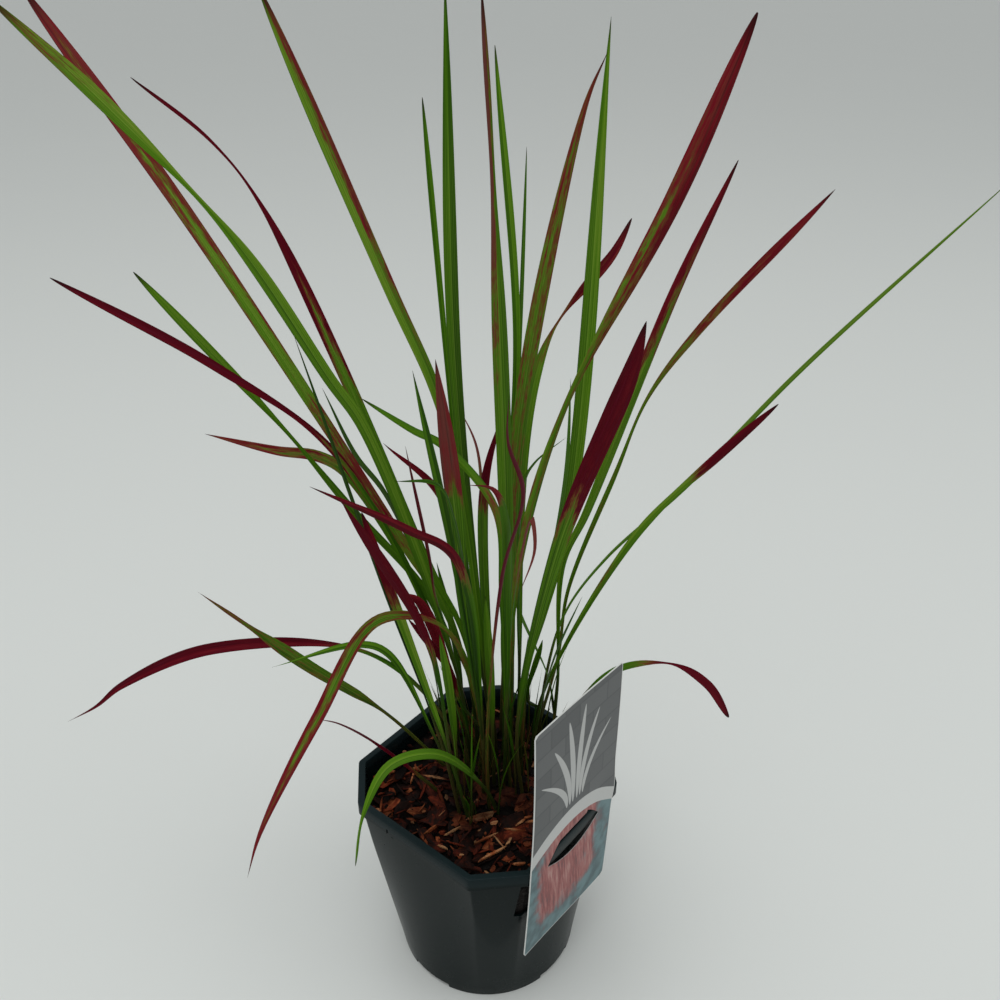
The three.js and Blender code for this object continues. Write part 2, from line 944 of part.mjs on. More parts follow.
// Plain six-sided hole that a stem stands in, along the stem's own line
function stemHole(stem) {
  const curve = mainCurve(stem);
  const loops = HOLE_STRETCH.map((part) => {
    const share = part / (curve.points.length - 1);
    const tangent = curve.getTangent(share);
    const centre = curve.getPoint(share);
    if (part === 0) {
      centre.addScaledVector(tangent, -GAP * 1.5);
    }
    const across = new THREE.Vector3(0, 1, 0).cross(tangent).normalize();
    const face = tangent.clone().cross(across);
    return [0, 60, 120, 180, 240, 300].map((angle) => {
      const corner = centre.clone().addScaledVector(across, HOLE_RADIUS * Math.cos(radians(angle)));
      return corner.addScaledVector(face, HOLE_RADIUS * Math.sin(radians(angle)));
    });
  });
  return loftLoops(loops);
}

// A shoot leans out from the middle of the clump, with one narrow blade that bends out a little more.
function youngShoot([x, y], random) {
  const between = (low, high) => low + (high - low) * random();
  const out = new THREE.Vector2(x - CLUMP_CENTRE[0], y - CLUMP_CENTRE[1]).normalize();
  out.rotateAround(new THREE.Vector2(), between(-0.6, 0.6));
  const at = (height, lean) => [x + out.x * lean, y + out.y * lean, MULCH_TOP + height];
  const height = between(110, 190);
  const lean = height * between(0.1, 0.22);
  return {
    foot: [x, y],
    top: at(height * 0.3, lean * 0.2),
    blades: [
      {
        path: [at(height * 0.65, lean * 0.5), at(height, lean)],
        width: between(4, 5.5),
        turn: [0, between(-50, 50)],
        red: 0,
      },
    ],
  };
}

function allStems() {
  const random = mulberry(SHOOT_SEED);
  return [...STEMS, ...SHOOTS.map((place) => youngShoot(place, random))];
}

// ---- Filling

function mulberry(seed) {
  let state = seed;
  return () => {
    state = (state + 0x6d2b79f5) | 0;
    let mixed = Math.imul(state ^ (state >>> 15), 1 | state);
    mixed = (mixed + Math.imul(mixed ^ (mixed >>> 7), 61 | mixed)) ^ mixed;
    return ((mixed ^ (mixed >>> 14)) >>> 0) / 4294967296;
  };
}

function cutHoles(solid) {
  return allStems().reduce((rest, stem) => rest.subtract(stemHole(stem)), solid);
}

function pottingMix() {
  const levels = [FLOOR + GAP, ...WALL_LEVELS.slice(1), MIX_TOP];
  return cutHoles(wallSolid(levels, FILL_INSET, FILL_ANGLES));
}

// One flat, five-cornered chip, tilted a little and half sunk into the layer
function barkChip(index, random) {
  const between = ([low, high]) => low + (high - low) * random();
  const length = between(CHIP_LENGTH);
  const breadth = length * between([0.35, 0.7]);
  const thickness = between(CHIP_THICKNESS);
  const corners = [0, 70, 140, 215, 290].map((angle) => {
    const bearing = radians(angle + between([-14, 14]));
    return new THREE.Vector2((Math.cos(bearing) * length) / 2, (Math.sin(bearing) * breadth) / 2);
  });
  const reach = CHIP_FIELD * Math.sqrt((index + 0.5) / CHIP_COUNT);
  const bearing = index * Math.PI * (3 - Math.sqrt(5));
  const place = new THREE.Matrix4().makeTranslation(
    Math.cos(bearing) * reach,
    Math.sin(bearing) * reach,
    MULCH_TOP - thickness * 0.35 + between([0, 0.9]),
  );
  const tilts = [between([-CHIP_TILT, CHIP_TILT]), between([-CHIP_TILT, CHIP_TILT])];
  const tilt = new THREE.Euler(radians(tilts[0]), radians(tilts[1]), 0);
  place.multiply(new THREE.Matrix4().makeRotationFromEuler(tilt));
  place.multiply(new THREE.Matrix4().makeRotationZ(random() * Math.PI * 2));
  return extrudeSolid(new THREE.Shape(corners), thickness, place);
}

function barkMulch() {
  const random = mulberry(CHIP_SEED);
  let layer = wallSolid([MIX_TOP + GAP, MULCH_TOP], FILL_INSET, FILL_ANGLES);
  for (let index = 0; index < CHIP_COUNT; index += 1) {
    layer = layer.add(barkChip(index, random));
  }
  const room = wallSolid([MIX_TOP + GAP, POT_HEIGHT - SKIRT_HEIGHT, POT_HEIGHT], FILL_INSET, FILL_ANGLES);
  return largestPart(cutHoles(layer.intersect(room).subtract(tongueRoom())));
}

// ---- Hang card

// Strip of even thickness along a line given as [distance from the axis, level], `width` wide along the rim.
function stripSolid(line, thickness, width, along) {
  const path = line.map(([reach, level]) => new THREE.Vector2(reach, level));
  const normals = path.map((point, i) => {
    const before = path[Math.max(i - 1, 0)];
    const after = path[Math.min(i + 1, path.length - 1)];
    const run = after.clone().sub(before).normalize();
    return new THREE.Vector2(-run.y, run.x).multiplyScalar(thickness / 2);
  });
  const left = path.map((point, i) => point.clone().add(normals[i]));
  const right = path.map((point, i) => point.clone().sub(normals[i])).reverse();
  const out = direction(POT_TURN + 45);
  const beside = out.clone().cross(UP);
  const matrix = new THREE.Matrix4().makeBasis(out, UP, beside);
  matrix.multiply(new THREE.Matrix4().makeTranslation(0, 0, -along - width / 2));
  return extrudeSolid(new THREE.Shape([...left, ...right]), width, matrix);
}

function tongueLine() {
  const inside = RIM_LONG - SKIRT_STAND - WALL - GAP - CARD.thickness / 2;
  const over = POT_HEIGHT + GAP + CARD.thickness / 2;
  return [
    [CARD_REACH, OPENING.top + 3],
    [CARD_REACH, over + 5.5],
    [CARD_REACH - 1.2, over + 2],
    [CARD_REACH - 3.4, over + 0.6],
    [inside + 1.2, over + 0.3],
    [inside + 0.1, over - 0.3],
    [inside - 0.3, over - 2],
    [inside - 0.5, TONGUE_END],
  ];
}

// Space kept free in the mulch around the tongue
function tongueRoom() {
  const out = direction(POT_TURN + 45);
  const half = TONGUE_WIDTH / 2 + 1;
  return wallBox(out, [OPENING.along - half, OPENING.along + half], [61.5, 70], [TONGUE_END - 1, POT_HEIGHT]);
}

function cardPlate() {
  const rows = 8;
  const middle = OPENING.level + 10;
  const line = [];
  for (let i = 0; i <= rows; i += 1) {
    const level = THREE.MathUtils.lerp(CARD.bottom, CARD.top, i / rows);
    const curl = CARD_BOW * ((level - middle) / (CARD.top - middle)) ** 2;
    line.push([CARD_REACH - Math.max(curl - 0.12, 0), level]);
  }
  const plate = stripSolid(line, CARD.thickness, CARD.width, CARD.along);
  const out = direction(POT_TURN + 45);
  const pivot = new THREE.Vector3(0, 0, middle);
  const turn = new THREE.Matrix4().makeTranslation(pivot.x, pivot.y, pivot.z);
  turn.multiply(new THREE.Matrix4().makeRotationAxis(out, radians(CARD.turn)));
  turn.multiply(new THREE.Matrix4().makeTranslation(-pivot.x, -pivot.y, -pivot.z));
  return plate.transform(turn.toArray());
}

// Lens-shaped opening in the card, between an upper and a lower arc
function cardOpening() {
  const { halfLength, level, top, bottom } = OPENING;
  const shape = new THREE.Shape();
  shape.moveTo(-halfLength, level);
  shape.quadraticCurveTo(0, 2 * bottom - level, halfLength, level);
  shape.quadraticCurveTo(0, 2 * top - level, -halfLength, level);
  const out = direction(POT_TURN + 45);
  const beside = UP.clone().cross(out);
  const matrix = new THREE.Matrix4().makeBasis(beside, UP, out);
  matrix.multiply(new THREE.Matrix4().makeTranslation(OPENING.along, 0, CARD_REACH - 4));
  return extrudeSolid(shape, 8, matrix);
}

function hangCard() {
  const tongue = stripSolid(tongueLine(), CARD.thickness, TONGUE_WIDTH, OPENING.along);
  return cardPlate().subtract(cardOpening()).add(tongue);
}

// ---- The whole plant

function mesh(name, solid, look) {
  const piece = new THREE.Mesh(geometryFrom(solid), new THREE.MeshStandardMaterial(look));
  piece.name = name;
  return piece;
}

const plant = new THREE.Group();
plant.add(mesh('pot', pot(), COLOURS.pot));
plant.add(mesh('potting_mix', pottingMix(), COLOURS.potting_mix));
plant.add(mesh('bark_mulch', barkMulch(), COLOURS.bark_mulch));
plant.add(mesh('hang_card', hangCard(), COLOURS.hang_card));
allStems().forEach((stem, index) => {
  const name = `leafy_stem_${String(index + 1).padStart(2, '0')}`;
  const look = stem.blades[0].red > 0.5 ? COLOURS.crimson : COLOURS.green;
  plant.add(mesh(name, leafyStem(stem), look));
});

export default plant;
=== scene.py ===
import json
import logging
import math
from collections.abc import Callable, Mapping, Sequence
from dataclasses import dataclass
from enum import Enum

import bpy
import numpy as np
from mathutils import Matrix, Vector


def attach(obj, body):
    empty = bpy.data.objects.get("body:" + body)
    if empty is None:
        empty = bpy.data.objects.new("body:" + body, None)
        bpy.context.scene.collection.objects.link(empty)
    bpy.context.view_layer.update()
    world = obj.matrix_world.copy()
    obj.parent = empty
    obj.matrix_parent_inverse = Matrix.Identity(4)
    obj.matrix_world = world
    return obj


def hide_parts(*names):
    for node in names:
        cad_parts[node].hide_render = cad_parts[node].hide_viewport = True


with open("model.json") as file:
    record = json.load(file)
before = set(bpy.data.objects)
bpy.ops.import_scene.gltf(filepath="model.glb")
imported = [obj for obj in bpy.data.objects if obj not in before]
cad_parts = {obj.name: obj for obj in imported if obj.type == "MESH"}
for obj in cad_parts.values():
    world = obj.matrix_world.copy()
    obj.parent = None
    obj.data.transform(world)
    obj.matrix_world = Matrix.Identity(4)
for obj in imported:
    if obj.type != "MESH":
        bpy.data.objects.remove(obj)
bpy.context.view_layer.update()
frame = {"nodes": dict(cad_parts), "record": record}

# Japanese blood grass in a nursery pot, dressed: pot, potting mix, bark mulch, hang card and leafy stems.
# Metres, +Z up, with the origin at the centre of the pot's base. Sizes written in millimetres carry MM.

MM = 0.001
ROOT = "root"
LOG = logging.getLogger("blood_grass")
Span = tuple[float, float]
Triple = tuple[float, float, float]
Colour = tuple[float, float, float, float]
Array = np.ndarray
Arrays = list[Array]
Named = dict[str, Array]
Draws = np.random.Generator
Piece = bpy.types.Object


class Slot(Enum):
    """The material slots of the record."""

    POT = "pot"
    BARK = "bark"
    CARD = "card"
    GREEN = "grass_green"
    CRIMSON = "grass_crimson"


class Cut(Enum):
    """What a boolean does with its tools."""

    TAKE_AWAY = "DIFFERENCE"
    JOIN = "UNION"


def srgb(red: float, green: float, blue: float) -> Colour:
    """Turns a colour given in 0 to 255 display steps into linear light with full alpha.

    Args:
        red: red step.
        green: green step.
        blue: blue step.

    Returns:
        The colour.
    """
    steps = np.array([red, green, blue]) / 255
    linear = np.where(steps <= 0.04045, steps / 12.92, ((steps + 0.055) / 1.055) ** 2.4)
    return (*(float(value) for value in linear), 1.0)


def smooth(low: float, high: float, value: Array | float) -> Array:
    """Goes from 0 at low to 1 at high with level ends: 3t^2 - 2t^3."""
    part = np.clip((value - low) / (high - low), 0, 1)
    return part * part * (3 - 2 * part)


def heading(degrees: Array | float) -> Array:
    """Level unit vectors that point the given number of degrees round from +X."""
    angle = np.radians(degrees)
    return np.stack([np.cos(angle), np.sin(angle), np.zeros_like(angle)], axis=-1)


# ---- Shader maths


def math_method(operation: str, swap: bool = False) -> Callable[..., "Value"]:
    """Makes a method of Value that adds a Math node.

    Args:
        operation: the node's operation.
        swap: whether the value itself comes after the other operand.

    Returns:
        The method.
    """

    def method(value: "Value", *others: "Value | float") -> "Value":
        """Adds the node to the value's shader."""
        operands = (*others, value) if swap else (value, *others)
        return value.shader.node("ShaderNodeMath", {"operation": operation}, dict(enumerate(operands)))

    return method


class Value:
    """One output of a shader node, with arithmetic that adds Math nodes."""

    __add__ = __radd__ = math_method("ADD")
    __sub__ = math_method("SUBTRACT")
    __rsub__ = math_method("SUBTRACT", swap=True)
    __mul__ = __rmul__ = math_method("MULTIPLY")
    __truediv__ = math_method("DIVIDE")
    __pow__ = math_method("POWER")
    __abs__ = math_method("ABSOLUTE")
    sine = math_method("SINE")
    modulo = math_method("MODULO")
    at_least = math_method("MAXIMUM")
    at_most = math_method("MINIMUM")
    whole = math_method("FLOOR")
    part = math_method("FRACT")

    def __init__(self, shader: "Shader", socket: bpy.types.NodeSocket) -> None:
        """Keeps the shader and the socket."""
        self.shader = shader
        self.socket = socket

    def step(self, low: float, high: float) -> "Value":
        """Goes smoothly from 0 at low to 1 at high, or from 1 to 0 where low is above high.

        Args:
            low: where it starts.
            high: where it ends.

        Returns:
            The result, from 0 to 1.
        """
        if low > high:
            return 1 - self.step(high, low)
        inputs = {"Value": self, "From Min": low, "From Max": high}
        return self.shader.node("ShaderNodeMapRange", {"interpolation_type": "SMOOTHSTEP"}, inputs)

    def other(self, output: int | str) -> "Value":
        """Another output of the same node."""
        return Value(self.shader, self.socket.node.outputs[output])


Input = Value | float | Sequence[float]


class Shader:
    """The node tree of one material, with a Principled surface."""

    def __init__(self, name: str) -> None:
        """Makes an empty material with its surface and output."""
        self.material = bpy.data.materials.new(name)
        self.material.use_nodes = True
        self.tree = self.material.node_tree
        self.tree.nodes.clear()
        self.surface = self.tree.nodes.new("ShaderNodeBsdfPrincipled")
        output = self.tree.nodes.new("ShaderNodeOutputMaterial")
        self.tree.links.new(self.surface.outputs["BSDF"], output.inputs["Surface"])

    def feed(self, socket: bpy.types.NodeSocket, value: Input) -> None:
        """Links a value to a socket, or sets the socket to a constant.

        Args:
            socket: the socket.
            value: the value or constant.
        """
        if isinstance(value, Value):
            self.tree.links.new(value.socket, socket)
        else:
            socket.default_value = value

    def node(
        self,
        kind: str,
        settings: Mapping[str, object] | None = None,
        inputs: Mapping[str | int, Input] | None = None,
        output: int | str = 0,
    ) -> Value:
        """Adds any node.

        Args:
            kind: the node's type.
            settings: its own settings, set first.
            inputs: values or links by socket name or number.
            output: which output is returned.

        Returns:
            That output.
        """
        made = self.tree.nodes.new(kind)
        for name, value in (settings or {}).items():
            setattr(made, name, value)
        for name, value in (inputs or {}).items():
            self.feed(made.inputs[name], value)
        return Value(self, made.outputs[output])

    def ramp(self, factor: Value, *stops: tuple[float, Colour]) -> Value:
        """Colours by a ramp.

        Args:
            factor: the place on it.
            stops: (place, colour) pairs.

        Returns:
            The colour.
        """
        made = self.node("ShaderNodeValToRGB", None, {"Fac": factor})
        elements = made.socket.node.color_ramp.elements
        while len(elements) < len(stops):
            elements.new(1.0)
        for element, (place, colour) in zip(elements, stops):
            element.position = place
            element.color = colour
        return made

    def mix(self, factor: Input, first: Input, second: Input) -> Value:
        """Mixes two colours by a factor."""
        return self.node("ShaderNodeMix", {"data_type": "RGBA"}, {0: factor, 6: first, 7: second}, 2)

    def noise(self, place: Value, scale: float, detail: float = 2.0, roughness: float = 0.5) -> Value:
        """Noise from 0 to 1 at a place."""
        inputs = {"Vector": place, "Scale": scale, "Detail": detail, "Roughness": roughness}
        return self.node("ShaderNodeTexNoise", None, inputs)

    def stretched(self, place: Value, scale: Triple) -> Value:
        """A place with each of its axes scaled."""
        return self.node("ShaderNodeVectorMath", {"operation": "MULTIPLY"}, {0: place, 1: scale})

    def object_place(self) -> Value:
        """The place in the object's own axes, in metres."""
        return self.node("ShaderNodeTexCoord", None, None, "Object")

    def attribute(self, name: str, output: str = "Fac") -> Value:
        """A value that the mesh stores at its points."""
        return self.node("ShaderNodeAttribute", {"attribute_name": name}, None, output)

    def axes(self, place: Value) -> tuple[Value, Value, Value]:
        """The three parts of a place."""
        first = self.node("ShaderNodeSeparateXYZ", None, {0: place})
        return first, first.other(1), first.other(2)

    def place(self, x: Input, y: Input, z: Input) -> Value:
        """A place from its three parts."""
        return self.node("ShaderNodeCombineXYZ", None, {0: x, 1: y, 2: z})

    def bump(self, height: Value, distance: float, strength: float = 1.0) -> Value:
        """A normal that follows a height from 0 to 1, `distance` metres high."""
        inputs = {"Height": height, "Distance": distance, "Strength": strength}
        return self.node("ShaderNodeBump", None, inputs)

    def finish(self, colour: Input, roughness: Input, others: Mapping[str, Input]) -> bpy.types.Material:
        """Feeds the surface.

        Args:
            colour: its colour.
            roughness: its roughness.
            others: other inputs by name.

        Returns:
            The finished material.
        """
        for name, value in {"Base Color": colour, "Roughness": roughness, **others}.items():
            self.feed(self.surface.inputs[name], value)
        return self.material


# ---- Finishes


@dataclass(frozen=True)
class MouldedPlastic:
    """Satin charcoal plastic with a blue-green cast, faint flow streaks, dust, and painted sheen that
    lightens the rim.
    """

    name: str = "moulded_plastic"
    dark: Colour = srgb(6, 15, 15)
    light: Colour = srgb(14, 27, 27)
    dust: Colour = srgb(60, 66, 64)
    rim_sheen: Colour = srgb(38, 50, 53)
    roughness: float = 0.17
    density: float = 1.15
    flow_stretch: Triple = (260, 260, 14)
    dust_top: float = 0.03
    rim_levels: Span = (0.1355, 0.139)
    relief: float = 0.00004

    def material(self) -> bpy.types.Material:
        """Builds the material on Object coordinates.

        Returns:
            The material.
        """
        shader = Shader(self.name)
        place = shader.object_place()
        cloud = shader.noise(place, 22, 3)
        flow = shader.noise(shader.stretched(place, self.flow_stretch), 1, 2)
        grain = shader.noise(place, 1500, 2)
        speck = shader.noise(place, 420, 1).step(0.7, 0.78)
        colour = shader.mix(cloud * 0.6 + flow * 0.25, self.dark, self.light)
        _, _, level = shader.axes(place)
        low_dust = level.step(self.dust_top, 0.0) * shader.noise(place, 90, 4).step(0.35, 0.75) * 0.2
        colour = shader.mix((speck * 0.1 + low_dust).at_most(0.4), colour, self.dust)
        # Painted sheen: from 135.5 mm up the rim turns lighter and bluer, in uneven patches.
        rim = level.step(*self.rim_levels) * (0.15 + cloud * 0.5)
        colour = shader.mix(rim, colour, self.rim_sheen)
        gloss = self.roughness + cloud * 0.08 + flow * 0.05 + speck * 0.1 + low_dust * 0.5
        height = grain * 0.7 + flow * 0.3
        normal = shader.bump(height, self.relief, 0.4)
        return shader.finish(colour, gloss, {"IOR": self.density, "Normal": normal})


@dataclass(frozen=True)
class MoistMix:
    """Dark crumbly potting mix of peat and fine bark."""

    name: str = "moist_mix"
    dark: Colour = srgb(6, 4, 3)
    light: Colour = srgb(26, 15, 10)
    crumbs: float = 420.0
    roughness: float = 0.92
    relief: float = 0.0009

    def material(self) -> bpy.types.Material:
        """Builds the material on Object coordinates.

        Returns:
            The material.
        """
        shader = Shader(self.name)
        place = shader.object_place()
        crumb = shader.node("ShaderNodeTexVoronoi", None, {"Vector": place, "Scale": self.crumbs})
        fine = shader.noise(place, 900, 4, 0.6)
        colour = shader.ramp(fine * 0.7 + crumb * 0.5, (0.3, self.dark), (0.85, self.light))
        normal = shader.bump(crumb + fine * 0.5, self.relief)
        return shader.finish(colour, self.roughness, {"Normal": normal})


@dataclass(frozen=True)
class BarkFinish:
    """Damp red-brown bark with grain along each chip, from near black to tan, pale wood on slivers, and
    painted shade.
    """

    name: str = "bark"
    black: Colour = srgb(6, 3, 2)
    brown: Colour = srgb(38, 14, 7)
    red: Colour = srgb(98, 34, 15)
    tan: Colour = srgb(142, 76, 42)
    pale: Colour = srgb(176, 130, 90)
    density: float = 1.2
    grain_stretch: Triple = (90, 900, 500)
    relief: float = 0.0006

    def material(self) -> bpy.types.Material:
        """Builds the material on the chips' own grain, tone and light.

        Returns:
            The material.
        """
        shader = Shader(self.name)
        grain_place = shader.attribute("bark_grain", "Vector")
        tone = shader.attribute("bark_tone_and_shade")
        lit = shader.attribute("bark_light")
        grain = shader.noise(shader.stretched(grain_place, self.grain_stretch), 1, 4, 0.6)
        patch = shader.noise(grain_place, 160, 3)
        pit = shader.noise(grain_place, 700, 2)
        # Patches that are partly damp bark and partly painted shade: where this is low the bark is darker
        # even in full light.
        damp_and_shade = shader.noise(shader.object_place(), 52, 3).step(0.38, 0.6)
        shade = tone + (grain - 0.5) * 0.6 + (patch - 0.5) * 0.7
        tones = (self.black, self.brown, self.red, self.tan, self.pale)
        colour = shader.ramp(shade, *zip((0.05, 0.3, 0.55, 0.78, 1.0), tones))
        colour = shader.mix(pit.step(0.42, 0.3) * 0.6, colour, self.black)
        # Painted shade: darker where bark_light is low, deep between chips and near the stems, and in the
        # patches.
        colour = shader.mix((1 - lit * (0.35 + damp_and_shade * 0.65)) * 0.95, colour, self.black)
        normal = shader.bump(grain * 0.6 + pit * 0.4, self.relief)
        return shader.finish(colour, 0.62 + grain * 0.25, {"IOR": self.density, "Normal": normal})


@dataclass(frozen=True)
class PrintedCard:
    """Soft-sheen printed card: grey courses and a pale tuft above, a pale band, red streaks below.

    The print is read at card_place: along the rim, level, and outwards, in metres, with the level
    counted from the opening. Its back is plain white.
    """

    name: str = "printed_card"
    stone: Colour = srgb(80, 82, 83)
    stone_light: Colour = srgb(106, 108, 108)
    joint: Colour = srgb(62, 64, 65)
    pale: Colour = srgb(188, 189, 187)
    plum: Colour = srgb(88, 60, 63)
    red: Colour = srgb(136, 66, 64)
    rose: Colour = srgb(158, 98, 94)
    blush: Colour = srgb(182, 144, 136)
    teal: Colour = srgb(98, 126, 130)
    teal_dark: Colour = srgb(66, 90, 95)
    edge: Colour = srgb(206, 207, 204)
    course: float = 0.0135
    block: float = 0.027
    joint_half: Span = (0.0003, 0.0008)
    band: Span = (0.0096, 0.0206)
    arc_bend: float = 8.2
    arc_slope: float = 0.09
    margin: Span = (0.0004, 0.0006)
    shine: float = 0.4
    relief: float = 0.00003
    tuft_foot: float = 0.0245
    tuft_along: float = -0.002
    stroke_width: float = 0.0058
    tuft: tuple[Triple, ...] = (
        # foot offset, lean and reach of each pale stroke of the tuft, in metres
        (-0.008, -0.026, 0.034),
        (-0.005, -0.017, 0.052),
        (-0.002, -0.006, 0.064),
        (0.002, 0.006, 0.067),
        (0.005, 0.017, 0.056),
        (0.008, 0.027, 0.040),
    )

    def stones(self, shader: Shader, along: Value, level: Value) -> Value:
        """Grey blocks laid in courses, each a little lighter or darker, with thin joints.

        Args:
            shader: the material's tree.
            along: metres along the rim.
            level: metres over the opening.

        Returns:
            The colour.
        """
        row = level / self.course
        slide = row.whole().modulo(2.0) * 0.5
        column = along / self.block + slide + 40
        cell = shader.place(column.whole(), row.whole(), 0.0)
        tone = shader.node("ShaderNodeTexWhiteNoise", {"noise_dimensions": "3D"}, {"Vector": cell})
        within = abs(column.part() - 0.5) * self.block
        across = abs(row.part() - 0.5) * self.course
        thin, thick = self.joint_half
        upright = within.step(self.block / 2 - thick, self.block / 2 - thin)
        bed = across.step(self.course / 2 - thick, self.course / 2 - thin)
        colour = shader.mix(tone * 0.45, self.stone, self.stone_light)
        return shader.mix(upright.at_least(bed) * 0.5, colour, self.joint)

    def stroke(self, along: Value, level: Value, foot: float, lean: float, reach: float) -> Value:
        """One curved stroke that leans outwards as the square of its height and thins to its tip.

        Args:
            along: metres along the rim.
            level: metres over the opening.
            foot: where it starts along the rim.
            lean: how far its tip is from there.
            reach: its height.

        Returns:
            From 0 beside it to 1 on it.
        """
        share = (level - self.tuft_foot) / reach
        middle = share * share * lean + foot
        width = ((1 - share).at_least(0.0) * share.at_least(0.0)) ** 0.6 * self.stroke_width
        inside = (width - abs(along - middle)).step(0.0, 0.0003)
        return inside * share.step(0.0, 0.02) * share.step(1.0, 0.98)

    def picture(self, shader: Shader, along: Value, level: Value) -> Value:
        """Upright red and rose streaks that fade into teal at both sides and at the foot.

        Args:
            shader: the material's tree.
            along: metres along the rim.
            level: metres over the opening.

        Returns:
            The colour.
        """
        lean = along + level * 0.18
        place = shader.place(lean, level * 0.09, 0.0)
        patch = shader.noise(shader.place(lean, level * 0.4, 2.0), 110, 3)
        streak = shader.noise(place, 430, 4, 0.62) * 0.7 + patch * 0.3
        broad = shader.noise(place, 150, 2)
        cloud = shader.noise(shader.place(along, level, 0.3), 90, 4)
        colours = (self.plum, self.red, self.rose, self.blush)
        colour = shader.ramp(streak, *zip((0.36, 0.45, 0.54, 0.68), colours))
        side = abs(along + 0.003).step(0.02, 0.036) + level.step(-0.045, -0.07) + (broad - 0.5) * 0.9
        water = shader.mix(cloud.step(0.35, 0.65), self.teal_dark, self.teal)
        side = side + (cloud - 0.5) * 1.6 + (streak - 0.5) * 0.9
        return shader.mix(side.step(0.15, 0.95), colour, water)

    def material(self) -> bpy.types.Material:
        """Builds the material on the card's own places.

        Returns:
            The material.
        """
        shader = Shader(self.name)
        place = shader.attribute("card_place", "Vector")
        front = shader.attribute("card_front")
        from_edge = shader.attribute("card_margin")
        along, level, _ = shader.axes(place)
        colour = self.stones(shader, along, level)
        for foot, lean, reach in self.tuft:
            stroke = self.stroke(along, level, foot + self.tuft_along, lean, reach)
            colour = shader.mix(stroke * 0.85, colour, self.pale)
        arc = level + along * along * self.arc_bend + along * self.arc_slope
        foot, top = self.band
        colour = shader.mix(arc.step(top, top - 0.0002), colour, self.pale)
        colour = shader.mix(arc.step(foot, foot - 0.0002), colour, self.picture(shader, along, level))
        fibre = shader.noise(place, 1400, 2)
        colour = shader.mix((fibre - 0.5) * 0.12 + 0.03, colour, self.joint)
        bare, printed = self.margin
        colour = shader.mix(from_edge.step(printed, bare), colour, self.edge)
        colour = shader.mix(front, self.edge, colour)
        normal = shader.bump(fibre, self.relief, 0.5)
        gloss = 0.42 + fibre * 0.1
        return shader.finish(colour, gloss, {"Specular IOR Level": self.shine, "Normal": normal})


